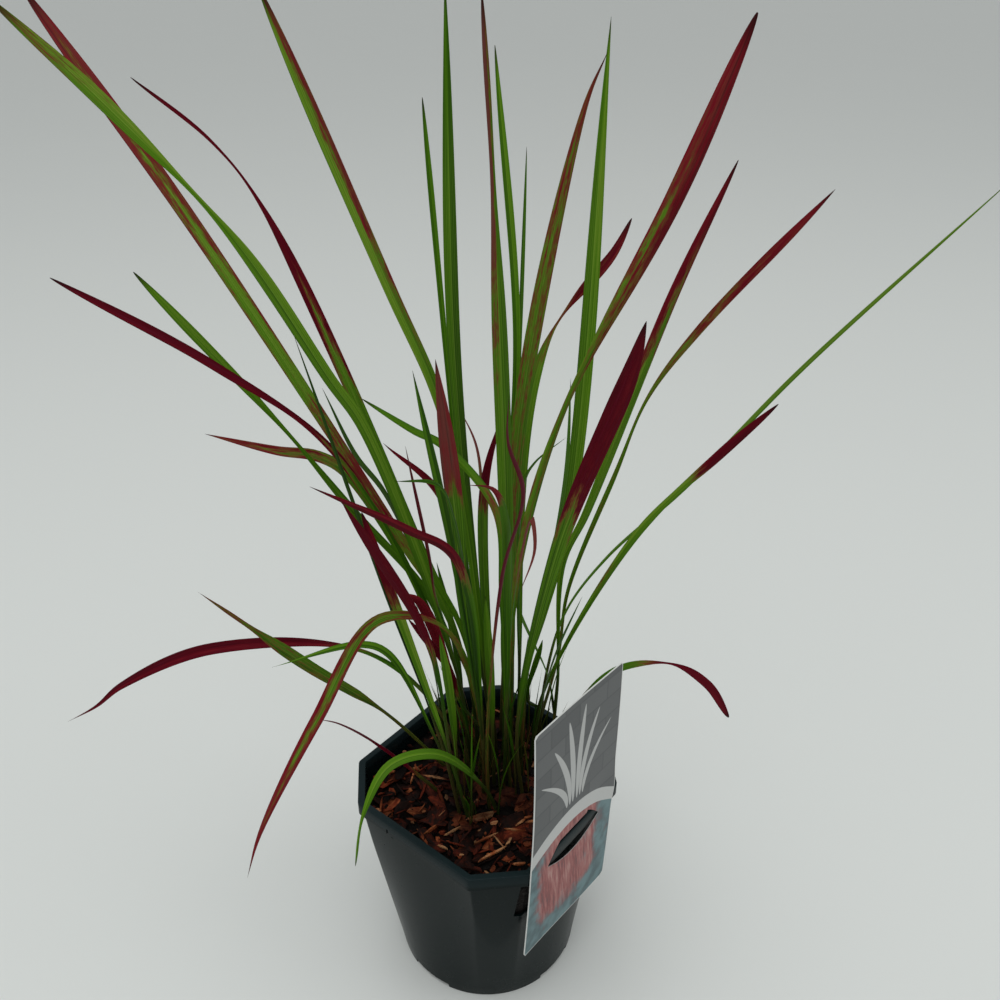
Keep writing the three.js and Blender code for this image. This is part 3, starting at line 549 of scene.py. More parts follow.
@dataclass(frozen=True)
class GrassFinish:
    """Grass blade: green through olive and red-brown to crimson, in long streaks, with fine ribs.

    Each point stores leaf_place (across from -1 to 1, metres along, the blade's own number), and
    from 0 to 1 leaf_blush (redness), leaf_fresh (kind of green), leaf_wine (kind of red), leaf_rib
    (how wide the blade is there), leaf_sheath, leaf_dry (the withered tip) and leaf_gloom (the dark
    among the stems' feet).
    """

    name: str
    greens: tuple[Colour, ...] = (srgb(21, 43, 9), srgb(45, 82, 8), srgb(74, 116, 15), srgb(114, 140, 44))
    reds: tuple[Colour, ...] = (srgb(104, 60, 52), srgb(114, 20, 30), srgb(82, 2, 18), srgb(90, 26, 46))
    olive: Colour = srgb(96, 94, 34)
    russet: Colour = srgb(104, 52, 32)
    dark_red: Colour = srgb(50, 3, 12)
    midrib: Colour = srgb(128, 156, 62)
    sheath: Colour = srgb(44, 62, 20)
    straw: Colour = srgb(82, 68, 38)
    plum: Colour = srgb(58, 28, 30)
    dry: Colour = srgb(26, 14, 14)
    gloom: Colour = srgb(8, 11, 5)
    density: float = 1.14
    streaks: Triple = (3.0, 7, 7.3)
    threads: Triple = (10, 16, 3.1)
    mottles: Triple = (1.8, 70, 5.7)
    flecks: Triple = (6.5, 230, 9.1)
    ribs: float = 24.0
    relief: float = 0.00012

    def green(self, shader: Shader, streak: Value, thread: Value, shade: Value) -> Value:
        """The blade's green, by its kind, in streaks and threads, with painted light and shade on the two
        halves of the fold.
        """
        kind = shader.attribute("leaf_fresh") + (streak - 0.5) * 0.85 + (thread - 0.5) * 0.45 + shade
        return shader.ramp(kind, *zip((0.0, 0.35, 0.68, 1.0), self.greens))

    def red(self, shader: Shader, streak: Value, mottle: Value) -> Value:
        """The blade's red, by its kind, streaked and mottled."""
        kind = shader.attribute("leaf_wine") + (streak - 0.5) * 0.6 + (mottle - 0.5) * 0.35
        return shader.ramp(kind, *zip((0.0, 0.35, 0.62, 1.0), self.reds))

    def material(self) -> bpy.types.Material:
        """Builds the material on the blades' own places.

        Returns:
            The material.
        """
        shader = Shader(self.name)
        place = shader.attribute("leaf_place", "Vector")
        blush = shader.attribute("leaf_blush")
        wide = shader.attribute("leaf_rib")
        across, _, number = shader.axes(place)
        streak = shader.noise(shader.stretched(place, self.streaks), 1, 3, 0.6)
        thread = shader.noise(shader.stretched(place, self.threads), 1, 2)
        mottle = shader.noise(shader.stretched(place, self.mottles), 1, 3)
        fleck = shader.noise(shader.stretched(place, self.flecks), 1, 2)
        # Painted light and shade on the V fold: one half of each blade is lighter, the other darker, by the
        # blade's number.
        half = across.step(-0.12, 0.12) * 2 - 1
        shade = half * (number.part() - 0.5) * 0.26
        uneven = (streak - 0.5) * 1.4 + (thread - 0.5) * 0.8 + (mottle - 0.5) * 1.6 + (fleck - 0.5) * 0.9
        redness = blush + uneven * blush * (1 - blush) * 4
        colour = self.green(shader, streak, thread, shade)
        brown = shader.mix(redness.step(0.3, 0.7), self.olive, self.russet)
        colour = shader.mix(redness.step(0.1, 0.48), colour, brown)
        # Dark red veins, which follow the painted shade and gather on the darker half.
        vein = (0.5 - streak - shade).step(0.0, 0.22) * 0.55
        red = shader.mix(vein, self.red(shader, streak, mottle), self.dark_red)
        colour = shader.mix(redness.step(0.55, 0.95), colour, red)
        rib = ((across * self.ribs).sine() * 0.5 + 0.5) * wide
        plain = redness.step(0.5, 0.1)
        colour = shader.mix(rib * plain * 0.16, colour, self.midrib)
        middle = abs(across).step(0.11, 0.02) * wide
        colour = shader.mix(middle * plain * 0.3, colour, self.midrib)
        worn = mottle * 0.6 + thread * 0.4 + number.part() * 0.5 - 0.25
        wrap = shader.mix(worn.step(0.38, 0.66), self.sheath, self.straw)
        wrap = shader.mix((streak + 0.2 - number.part() * 0.4).step(0.56, 0.72) * 0.6, wrap, self.plum)
        colour = shader.mix(shader.attribute("leaf_sheath") * redness.step(0.4, 0.1) * 0.75, colour, wrap)
        colour = shader.mix(shader.attribute("leaf_gloom") * 0.85, colour, self.gloom)
        colour = shader.mix(shader.attribute("leaf_dry"), colour, self.dry)
        normal = shader.bump(rib * 0.7 + thread * 0.3, self.relief, 0.8)
        return shader.finish(colour, 0.42 + streak * 0.14, {"IOR": self.density, "Normal": normal})


@dataclass(frozen=True)
class PaleFloor:
    """Plain pale tabletop."""

    name: str = "pale_floor"
    colour: Colour = srgb(214, 217, 214)
    shade: Colour = srgb(204, 208, 206)
    roughness: float = 0.55

    def material(self) -> bpy.types.Material:
        """Builds the material on Object coordinates.

        Returns:
            The material.
        """
        shader = Shader(self.name)
        cloud = shader.noise(shader.object_place(), 3, 2)
        colour = shader.mix(cloud * 0.12, self.colour, self.shade)
        return shader.finish(colour, self.roughness, {})


# ---- Meshes


def make_piece(
    name: str,
    points: Array,
    faces: Sequence[Array],
    values: Named | None = None,
    crease: float | None = None,
) -> Piece:
    """Makes a smooth-shaded mesh object at the origin.

    Args:
        name: the piece's name.
        points: (n, 3) places in metres.
        faces: arrays of faces, each (m, corners).
        values: what the points store: (n,) numbers or (n, 3) places by name.
        crease: angle in degrees past which an edge stays sharp.

    Returns:
        The new object, linked to the scene.
    """
    mesh = bpy.data.meshes.new(name)
    mesh.from_pydata(points.tolist(), [], [face for group in faces for face in group.tolist()])
    mesh.shade_smooth()
    if crease is not None:
        mesh.set_sharp_from_angle(angle=math.radians(crease))
    store_values(mesh, values or {})
    piece = bpy.data.objects.new(name, mesh)
    bpy.context.scene.collection.objects.link(piece)
    return piece


def store_values(mesh: bpy.types.Mesh, values: Named) -> None:
    """Stores numbers or places at a mesh's points.

    Args:
        mesh: the mesh.
        values: (n,) numbers or (n, 3) places by name.
    """
    for name, array in values.items():
        vector = array.ndim == 2
        layer = mesh.attributes.new(name, "FLOAT_VECTOR" if vector else "FLOAT", "POINT")
        layer.data.foreach_set("vector" if vector else "value", array.astype(np.float32).ravel())


def read_vectors(items: bpy.types.bpy_prop_collection, name: str) -> Array:
    """Reads one vector of each item.

    Args:
        items: points, or their normals.
        name: what the vector is called.

    Returns:
        (n, 3) numbers.
    """
    flat = np.zeros(len(items) * 3, np.float32)
    items.foreach_get(name, flat)
    return flat.reshape(-1, 3).astype(float)


def ring_faces(rows: int, ring: int) -> Array:
    """Quads between closed rings, which face outwards where the rings run anticlockwise.

    Args:
        rows: the number of rings.
        ring: points in a ring.

    Returns:
        The (m, 4) faces.
    """
    row, column = np.meshgrid(np.arange(rows - 1), np.arange(ring), indexing="ij")
    a = row * ring + column
    b = row * ring + (column + 1) % ring
    return np.stack([a, b, b + ring, a + ring], axis=-1).reshape(-1, 4)


def cap_faces(start: int, ring: int, hub: int, upward: bool) -> Array:
    """Triangles from a hub point to a ring.

    Args:
        start: number of the ring's first point.
        ring: points in the ring.
        hub: number of the hub.
        upward: whether the faces follow the ring's run.

    Returns:
        The (m, 3) faces.
    """
    a = np.arange(ring)
    b = (a + 1) % ring
    first, second = (a, b) if upward else (b, a)
    return np.stack([np.full(ring, hub), start + first, start + second], axis=-1)


def loft(rings: Array) -> tuple[Array, Arrays]:
    """Closed skin through rings of points, with a hub point in the middle of both end rings.

    Args:
        rings: (rows, ring, 3) points, each ring anticlockwise seen from the far end.

    Returns:
        The points and the arrays of faces.
    """
    rows, ring, _ = rings.shape
    count = rows * ring
    points = np.vstack([rings.reshape(-1, 3), rings[0].mean(axis=0), rings[-1].mean(axis=0)])
    faces = [
        ring_faces(rows, ring),
        cap_faces(0, ring, count, False),
        cap_faces(count - ring, ring, count + 1, True),
    ]
    return points, faces


@dataclass(frozen=True)
class Skin:
    """Points, faces and what the points store, before they become a mesh."""

    points: Array
    faces: Arrays
    stored: Named

    @staticmethod
    def of_rings(rings: Array, values: Named) -> "Skin":
        """Closes rings into a skin. Both hub points store the mean of their ring.

        Args:
            rings: (rows, ring, 3) points.
            values: (rows, ring) numbers or (rows, ring, 3) places by name.

        Returns:
            The skin.
        """
        points, faces = loft(rings)
        ring = rings.shape[1]
        stored = {}
        for name, value in values.items():
            flat = value.reshape(-1, *value.shape[2:])
            stored[name] = np.concatenate([flat, [flat[:ring].mean(axis=0)], [flat[-ring:].mean(axis=0)]])
        return Skin(points, faces, stored)

    @staticmethod
    def join(skins: Sequence["Skin"]) -> "Skin":
        """Puts skins together in one, without merging any points.

        Args:
            skins: skins that store the same values.

        Returns:
            The one skin.
        """
        firsts = np.cumsum([0, *(len(skin.points) for skin in skins[:-1])])
        faces = [group + first for skin, first in zip(skins, firsts) for group in skin.faces]
        stored = {name: np.concatenate([skin.stored[name] for skin in skins]) for name in skins[0].stored}
        return Skin(np.vstack([skin.points for skin in skins]), faces, stored)


def carve(piece: Piece, tools: Sequence[Piece], cut: Cut = Cut.TAKE_AWAY) -> None:
    """Cuts tools out of a piece, or joins them to it, and removes the tools.

    Args:
        piece: the piece, whose mesh is replaced by the result.
        tools: closed meshes.
        cut: which of the two it does.
    """
    for tool in tools:
        modifier = piece.modifiers.new("carve", "BOOLEAN")
        modifier.operation = cut.value
        modifier.solver = "EXACT"
        modifier.object = tool
    graph = bpy.context.evaluated_depsgraph_get()
    made = bpy.data.meshes.new_from_object(piece.evaluated_get(graph))
    piece.modifiers.clear()
    old = piece.data
    piece.data = made
    bpy.data.meshes.remove(old)
    made.name = piece.name
    for tool in tools:
        bpy.data.meshes.remove(tool.data)


def sharpen(piece: Piece, degrees: float) -> None:
    """Shades a piece smooth, with edges past an angle kept sharp."""
    piece.data.shade_smooth()
    piece.data.set_sharp_from_angle(angle=math.radians(degrees))


def settle(piece: Piece, material: bpy.types.Material, slot: Slot, *nodes: str) -> None:
    """Dresses a piece and ties it to the frame.

    Args:
        piece: the new piece.
        material: its finish.
        slot: the record's material slot of the piece; not used.
        nodes: the solids that it stands for.
    """
    piece.data.materials.clear()
    piece.data.materials.append(material)
    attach(piece, ROOT)
    if nodes:
        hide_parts(*nodes)
    triangles = sum(len(face.vertices) - 2 for face in piece.data.polygons)
    LOG.info("%s: %d triangles, stands for %s", piece.name, triangles, ", ".join(nodes) or "no solid")


# ---- Pot


@dataclass(frozen=True)
class PotShape:
    """Sizes of the pot, in metres: eight-sided at the rim and round at the base.

    The wall is a round form that widens upwards. The four long sides and the four short sides cut it.
    The corners are powers for soft_least.
    """

    height: float = 144 * MM
    turn: float = -84.17
    rim_long: float = 70 * MM
    rim_short: float = 81.3 * MM
    skirt_height: float = 9.6 * MM
    skirt_stand: float = 3 * MM
    skirt_wall: float = 1.2 * MM
    lip: float = 1.6 * MM
    wall: float = 1.5 * MM
    floor: float = 2 * MM
    base_radius: float = 59.6 * MM
    shoulder: float = 81 * MM
    tongue_height: float = 79 * MM
    tongue_apothem: float = 71.7 * MM
    body_corner: float = 260
    side_corner: float = 700
    rim_corner: float = 170

    @property
    def top(self) -> float:
        """Level of the skirt's lower edge."""
        return self.height - self.skirt_height

    def from_short(self, angle: Array) -> Array:
        """Degrees from the middle of the nearest short side."""
        return (angle - self.turn + 45) % 90 - 45

    def wall_radius(self, angle: Array, level: Array | float) -> Array:
        """Outer radius of the wall: the least of the round form and the two kinds of side.

        Args:
            angle: degrees from +X.
            level: metres above the base.

        Returns:
            The radius in metres, with the creases eased by a soft minimum.
        """
        short = self.from_short(angle)
        long_side = (self.rim_long - self.skirt_stand) / np.cos(np.radians(45 - np.abs(short)))
        rise = np.minimum(level / self.top, 1)
        wide = soft_least(self.body_corner, self.shoulder, long_side)
        body = self.base_radius + (wide - self.base_radius) * rise
        climb = np.minimum((level - self.tongue_height) / (self.top - self.tongue_height), 1)
        flat = self.tongue_apothem + (self.rim_short - self.skirt_stand - self.tongue_apothem) * climb
        return soft_least(self.side_corner, body, flat / np.cos(np.radians(short)))

    def rim_radius(self, angle: Array, shrink: float) -> Array:
        """Radius of the rim's octagon, shrunk by so much, with its corners rounded by a soft minimum.

        Args:
            angle: degrees from +X.
            shrink: how far the octagon is drawn in.

        Returns:
            The radius in metres.
        """
        short = self.from_short(angle)
        long_side = (self.rim_long - shrink) / np.cos(np.radians(45 - np.abs(short)))
        short_side = (self.rim_short - shrink) / np.cos(np.radians(short))
        return soft_least(self.rim_corner, long_side, short_side)


def soft_least(power: float, *sizes: Array | float) -> Array:
    """The least of several sizes with eased corners: the power mean (sum of s^-p)^(-1/p).

    Args:
        power: p, which is higher for a sharper corner.
        sizes: the sizes s.

    Returns:
        The eased least.
    """
    least = np.minimum.reduce(np.broadcast_arrays(*sizes))
    total = sum((size / least) ** -power for size in sizes)
    return least * total ** (-1 / power)


@dataclass
class Pot:
    """Nursery pot with a flat lip, a skirt, drain arches at the base, a corner slot and a slit."""

    shape: PotShape = PotShape()
    arch_height: float = 3.2 * MM
    arch_half_angle: float = 14
    arch_inner: float = 40 * MM
    slot_levels: Span = (99 * MM, 134 * MM)
    slot_short: Span = (6.2 * MM, 2.5 * MM)
    slot_long: float = 15 * MM
    slit_width: float = 1.8 * MM
    slit_levels: Span = (128 * MM, 138.5 * MM)
    slit_along: float = 19 * MM
    lip_round: float = 0.7 * MM
    inner_round: float = 0.5 * MM
    past: float = 2 * MM
    crease: float = 32
    # rows down the inside, in millimetres
    inside_levels: tuple[float, ...] = (140, 134.4, 125, 110, 95, 80, 66, 45, 25, 4)

    def angles(self) -> Array:
        """Directions of the columns in degrees, close together over each short side and its corners."""
        quarter = np.concatenate([np.arange(-15, 15, 0.5), np.arange(15, 75, 2.5)])
        return self.shape.turn + np.concatenate([quarter + 90 * turn for turn in range(4)])

    def profile(self, angles: Array) -> tuple[Array, Array]:
        """The pot's section, as a radius and a level for each row and direction.

        It runs from the base out and up the wall, out under the lip, round the skirt, over the lip
        and down the inside to the floor.

        Args:
            angles: directions in degrees.

        Returns:
            Radii and levels, both (rows, directions).
        """
        shape = self.shape
        rows: list[tuple[Array, float]] = []

        def wall(level: float, inset: float = 0.0) -> None:
            """Adds a row on the wall's form, drawn in by so much."""
            rows.append((shape.wall_radius(angles, max(level, 0.0)) - inset, level))

        def rim(level: float, shrink: float) -> None:
            """Adds a row on the rim's octagon, drawn in by so much."""
            rows.append((shape.rim_radius(angles, shrink), level))

        wall(0.0, 1.4 * MM)
        wall(0.0, 0.5 * MM)
        wall(0.2 * MM, 0.1 * MM)
        for level in np.concatenate([np.arange(1, 64, 9), np.arange(64, 134, 1.75)]) * MM:
            wall(float(level))
        wall(shape.top)
        under_lip = shape.height - shape.lip
        wall(under_lip - 0.4 * MM)
        wall(under_lip, -0.2 * MM)
        rim(under_lip, shape.skirt_wall + 0.3 * MM)
        rim(under_lip - 0.4 * MM, shape.skirt_wall)
        rim(shape.top + 0.2 * MM, shape.skirt_wall)
        rim(shape.top, shape.skirt_wall - 0.3 * MM)
        rim(shape.top, 0.3 * MM)
        rim(shape.top + 0.25 * MM, 0.05 * MM)
        rim(shape.top + 0.6 * MM, 0.0)
        rim(shape.top + shape.skirt_height / 2, 0.0)
        for turn in np.radians([0, 30, 60, 90]):
            rim(shape.height - self.lip_round * (1 - math.sin(turn)), self.lip_round * (1 - math.cos(turn)))
        lip_inside = shape.wall + self.inner_round
        rows.append((shape.wall_radius(angles, shape.top) - lip_inside + 1.4 * MM, shape.height))
        for turn in np.radians([90, 45, 0]):
            inset = shape.wall - self.inner_round * (1 - math.cos(turn))
            level = shape.height - self.inner_round * (1 - math.sin(turn))
            rows.append((shape.wall_radius(angles, shape.top) - inset, level))
        for level in np.array(self.inside_levels) * MM:
            wall(float(level), shape.wall)
        wall(shape.floor + 0.5 * MM, shape.wall + 0.4 * MM)
        wall(shape.floor, shape.wall + 1.5 * MM)
        radii = np.array([radius for radius, _ in rows])
        levels = np.array([[level] for _, level in rows]) * np.ones_like(radii)
        return radii, levels

    def block(self, name: str, out: float, starts: Span, end: float, reach: Span, levels: Span) -> Piece:
        """A box that cuts the wall, with one side that may slant.

        Args:
            name: its name.
            out: the direction that it faces, in degrees.
            starts: where it starts beside the wall, at its foot and at its top.
            end: where it ends beside the wall.
            reach: how far from the axis it starts and ends.
            levels: its lowest and highest level.

        Returns:
            The box.
        """
        away = heading(out)
        beside = heading(out + 90)
        rings = []
        for start, level in zip(starts, levels):
            corners = np.array([[reach[0], start], [reach[1], start], [reach[1], end], [reach[0], end]])
            rings.append(corners[:, :1] * away + corners[:, 1:] * beside + [0, 0, level])
        return make_piece(name, *loft(np.stack(rings)))

    def arch(self, quarter: int) -> Piece:
        """The space of one drain arch: a sector from the inner radius to beyond the wall.

        Args:
            quarter: which of the four.

        Returns:
            The tool.
        """
        shape = self.shape
        centre = shape.turn + quarter * 90 + 45
        sweep = np.linspace(centre - self.arch_half_angle, centre + self.arch_half_angle, 9)
        outer = heading(sweep) * (shape.base_radius + 5 * MM)
        inner = heading(sweep[::-1]) * self.arch_inner
        ring = np.vstack([outer, inner])
        rings = np.stack([ring + [0, 0, -1 * MM], ring + [0, 0, self.arch_height]])
        return make_piece(f"arch_{quarter}", *loft_flat(rings))

    def openings(self) -> list[Piece]:
        """The corner slot, the slit under the skirt and the drain arches.

        Returns:
            The tools.
        """
        shape = self.shape
        long_stand = shape.rim_long - shape.skirt_stand
        short_stand = shape.rim_short - shape.skirt_stand
        half = long_stand * math.sqrt(2) - short_stand
        long_half = short_stand * math.sqrt(2) - long_stand
        short_starts = (half - self.slot_short[0], half - self.slot_short[1])
        long_starts = (-long_half - self.past, -long_half - self.past)
        slit_starts = (-self.slit_along - self.slit_width, -self.slit_along - self.slit_width)
        short_reach, long_reach, slit_reach = (64 * MM, 84 * MM), (56 * MM, 72 * MM), (60 * MM, 72 * MM)
        short_end, long_end = half + self.past, self.slot_long - long_half
        tools = [
            self.block("slot_short", shape.turn, short_starts, short_end, short_reach, self.slot_levels),
            self.block("slot_long", shape.turn + 45, long_starts, long_end, long_reach, self.slot_levels),
            self.block("slit", shape.turn - 45, slit_starts, -self.slit_along, slit_reach, self.slit_levels),
        ]
        return tools + [self.arch(quarter) for quarter in range(4)]

    def build(self) -> None:
        """Builds and dresses the pot."""
        angles = self.angles()
        radii, levels = self.profile(angles)
        rings = heading(angles)[None] * radii[..., None]
        rings[..., 2] = levels
        piece = make_piece("nursery_pot", *loft(rings))
        carve(piece, self.openings())
        sharpen(piece, self.crease)
        settle(piece, MouldedPlastic().material(), Slot.POT, "pot")


def loft_flat(rings: Array) -> tuple[Array, Arrays]:
    """Closed skin through rings whose ends are one flat face each, which need not be convex.

    Args:
        rings: (rows, ring, 3) points.

    Returns:
        The points and the arrays of faces.
    """
    rows, ring, _ = rings.shape
    last = (rows - 1) * ring
    ends = [np.arange(ring)[None, ::-1], last + np.arange(ring)[None]]
    return rings.reshape(-1, 3), [ring_faces(rows, ring), *ends]


# ---- Grass


@dataclass(frozen=True)
class Tint:
    """How a blade is coloured.

    fresh is the kind of green and wine the kind of red, both from 0 to 1. Red takes over at the share
    red_from of the length, over the stretch spread. The edges turn by `edge` earlier than the middle,
    and one half by `side` earlier than the other. flush is the least redness anywhere and ripe the
    most. stain is a patch of red: the share of its middle, its strength and its spread.
    """

    fresh: float
    wine: float = 0.5
    red_from: float = 2.0
    spread: float = 0.25
    edge: float = 0.0
    side: float = 0.0
    flush: float = 0.0
    ripe: float = 1.0
    stain: Triple = (0.5, 0.0, 0.1)


@dataclass(frozen=True)
class Blade:
    """One blade, in millimetres: its path from the sheath to the tip, its width and its turn.

    turn is how far its face is rolled round its own length, in degrees, at the start and at the tip.
    A further blade leaves the sheath at `leaves`, a share of the sheath's height. The outline has its
    width at the neck as a share of the widest, the share of the length at its peak, how fast it draws in
    to the tip, and the place, depth and spread of the pinch that a twist makes.
    """

    path: tuple[Triple, ...]
    width: float
    turn: Span
    tint: Tint
    leaves: float = 1.0
    neck: float = 0.2
    peak: float = 0.72
    draw: float = 0.85
    pinch: Triple = (0.5, 0.0, 0.1)


@dataclass(frozen=True)
class Stem:
    """One leafy stem, in millimetres: its foot on the mulch, the top of its sheath, and its blades."""

    foot: Span
    top: Triple
    blades: tuple[Blade, ...]


@dataclass(frozen=True)
class Spine:
    """Centripetal Catmull-Rom curve through points, in metres."""

    points: Array
    samples: int = 1500

    def dense(self) -> tuple[Array, Array]:
        """Samples the curve.

        Each stretch between two points is the cubic whose end slopes come from the neighbours, with
        the parameter steps taken as the square roots of the distances.

        Returns:
            The places, and for each the length of the curve up to it.
        """
        points = self.points
        line = np.vstack([2 * points[0] - points[1], points, 2 * points[-1] - points[-2]])
        before, start, end, after = line[:-3], line[1:-2], line[2:-1], line[3:]

        def pace(first: Array, second: Array) -> Array:
            """The square roots of the distances between two rows of points."""
            return np.sqrt(np.linalg.norm(second - first, axis=1))[:, None]

        lead, own, trail = pace(before, start), pace(start, end), pace(end, after)
        slope_start = ((start - before) / lead - (end - before) / (lead + own) + (end - start) / own) * own
        slope_end = ((end - start) / own - (after - start) / (own + trail) + (after - end) / trail) * own
        square = 3 * (end - start) - 2 * slope_start - slope_end
        cube = 2 * (start - end) + slope_start + slope_end
        run = np.linspace(0, len(points) - 1, self.samples)
        stretch = np.minimum(run.astype(int), len(points) - 2)
        part = (run - stretch)[:, None]
        places = start[stretch] + slope_start[stretch] * part
        places = places + square[stretch] * part**2 + cube[stretch] * part**3
        steps = np.linalg.norm(np.diff(places, axis=0), axis=1)
        length = np.concatenate([[0], np.cumsum(steps)])
        return places, length

    def at_stretch(self, run: float) -> tuple[Array, float]:
        """The place `run` points along the curve, and the share of the length up to it.

        Args:
            run: how many points along, with a part.

        Returns:
            The place and the share.
        """
        places, length = self.dense()
        index = run / (len(self.points) - 1) * (self.samples - 1)
        low = min(int(index), self.samples - 2)
        part = index - low
        place = places[low] * (1 - part) + places[low + 1] * part
        share = (length[low] * (1 - part) + length[low + 1] * part) / length[-1]
        return place, float(share)


def read_along(at: Array, length: Array, rows: Array) -> Array:
    """Rows known at some lengths of a line, read between them at other lengths."""
    return np.stack([np.interp(at, length, column) for column in rows.T], axis=1)


@dataclass(frozen=True)
class BladeForm:
    """What all blades have in common, in metres: the sheath, the folded blade and its outline."""

    sheath: Span = (1.25 * MM, 1.0 * MM)
    second: float = 0.9 * MM
    thickness: float = 0.5 * MM
    fold: float = 0.24
    least: float = 1.0 * MM
    row_step: float = 3.2 * MM
    rows: int = 30
    ring: int = 16
    swell: float = 2.2
    tip_pace: float = 1.12
    tip_share: float = 0.999
    rib_from: Span = (1.5 * MM, 3.2 * MM)
    dry_from: Span = (0.96, 1.0)
    withered: float = 0.85

    def half_width(self, share: Array, blade: Blade) -> Array:
        """Half width along a blade, in metres: it swells to the peak, draws in to the tip and is pinched.

        The swell is neck + (1 - neck) * sin(pi/2 * share/peak)^swell, and the tip's draw is
        sin(pi/2 * (1 - share)/(1 - peak))^draw. The least of the two counts, times
        1 - depth * exp(-((share - place)/spread)^2).

        Args:
            share: shares of the length.
            blade: its data.

        Returns:
            The half widths.
        """
        place, depth, spread = blade.pinch
        rise = np.sin(np.pi / 2 * np.minimum(share / blade.peak, 1)) ** self.swell
        tip = np.sin(np.pi / 2 * np.clip((1 - share) / (1 - blade.peak), 0, 1)) ** blade.draw
        left = 1 - depth * np.exp(-(((share - place) / spread) ** 2))
        half = blade.width * MM / 2 * np.minimum(blade.neck + (1 - blade.neck) * rise, tip) * left
        least = np.where(share < blade.peak, self.least * (1 - 0.5 * smooth(0.4, 0.55, share)), 0.05 * MM)
        return np.maximum(half, least)

    def rings(
        self, spine: Spine, blade: Blade, closed: float, opens: float, radii: Span
    ) -> tuple[Array, Named]:
        """Sections along a blade, from a round sheath to a thin V.

        A section's points lie at angles round its middle, at radius * (cos, sin) in the sheath. In the
        open blade they lie at half width * cos across, and rise with the fold plus or minus the
        thickness, which thins to both edges.

        Args:
            spine: the blade's line.
            blade: its data.
            closed: share of the length that is sheath.
            opens: share over which the sheath opens out.
            radii: the sheath's radius at its foot and at its top.

        Returns:
            The (rows, ring, 3) points and what each of them stores.
        """
        places, length = spine.dense()
        total = length[-1]
        rows = max(int(total / self.row_step), self.rows)
        share = 1 - (1 - np.linspace(0, 1, rows)) ** self.tip_pace
        share[-1] = self.tip_share
        along = share * total
        centre = read_along(along, length, places)
        tangent = read_along(along, length, np.gradient(places, length, axis=0))
        tangent /= np.linalg.norm(tangent, axis=1, keepdims=True)
        lean = (spine.points[-1] - spine.points[0]) * [1, 1, 0]
        level = np.cross([0, 0, 1], lean / np.linalg.norm(lean))
        across = level - tangent * (tangent @ level)[:, None]
        across /= np.linalg.norm(across, axis=1, keepdims=True)
        face = np.cross(tangent, across)
        roll = np.radians(blade.turn[0] + (blade.turn[1] - blade.turn[0]) * share)[:, None]
        width_axis = across * np.cos(roll) + face * np.sin(roll)
        face_axis = np.cross(tangent, width_axis)
        opening = smooth(closed, closed + opens, share)[:, None]
        radius = (radii[0] + (radii[1] - radii[0]) * np.minimum(share / closed, 1))[:, None]
        half = self.half_width(share, blade)[:, None]
        turn = np.linspace(0, 2 * np.pi, self.ring, endpoint=False)
        x, y = np.cos(turn), np.sin(turn)
        taper = np.minimum(half / (2 * MM), 1)
        lift = half * self.fold * (np.sqrt(x**2 + 0.012) - 0.11)
        wide = radius * x * (1 - opening) + half * x * opening
        high = radius * y * (1 - opening) + (lift + self.thickness / 2 * y * taper) * opening
        points = centre[:, None] + width_axis[:, None] * wide[..., None]
        points = points + face_axis[:, None] * high[..., None]
        return points, self.stored(blade, share, x, half, opening, total)

    def stored(
        self, blade: Blade, share: Array, x: Array, half: Array, opening: Array, total: float
    ) -> Named:
        """What the points of a blade store, by the rules in its tint.

        Args:
            blade: its data.
            share: (rows,) shares of the length.
            x: (ring,) places across, from -1 to 1.
            half: (rows, 1) half widths.
            opening: (rows, 1) from 0 in the sheath to 1 in the open blade.
            total: the length.

        Returns:
            The (rows, ring) values by name.
        """
        tint = blade.tint
        column = np.broadcast_to(x, (len(share), len(x)))
        row = share[:, None]
        one_side = tint.side * 0.5 * np.clip(column * 3, -1, 1)
        turned = row + tint.edge * (np.abs(column) - 0.5) * 1.2 + one_side
        blush = tint.ripe * smooth(tint.red_from - tint.spread / 2, tint.red_from + tint.spread / 2, turned)
        middle, strength, reach = tint.stain
        stain = strength * np.exp(-(((row - middle) / reach) ** 2))
        number = abs(blade_number(blade.path[-1]))
        fresh = tint.fresh * (0.45 + 0.47 * smooth(0.0, 0.35, row)) + 0.13 * smooth(0.45, 0.9, row)
        place = np.stack(np.broadcast_arrays(column, row * total, number), axis=-1)
        values = {
            "leaf_blush": np.maximum(np.maximum(blush, stain), tint.flush),
            "leaf_fresh": fresh,
            "leaf_wine": np.array(tint.wine),
            "leaf_rib": smooth(*self.rib_from, half) * opening,
            "leaf_sheath": 1 - opening,
            "leaf_dry": self.withered * smooth(*self.dry_from, row),
        }
        spread_out = {name: np.broadcast_to(value, blush.shape) for name, value in values.items()}
        return {"leaf_place": place} | spread_out


NUMBER_WEIGHTS = (12.9898, 78.233, 37.719)
NUMBER_FACTOR = 43758.5453
NUMBERS = 50


def blade_number(tip: Triple) -> float:
    """A blade's own number from 0 to 50, which looks drawn by lot but is fixed by where its tip is."""
    mixed = sum(value * weight for value, weight in zip(tip, NUMBER_WEIGHTS))
    return math.sin(mixed) * NUMBER_FACTOR % NUMBERS


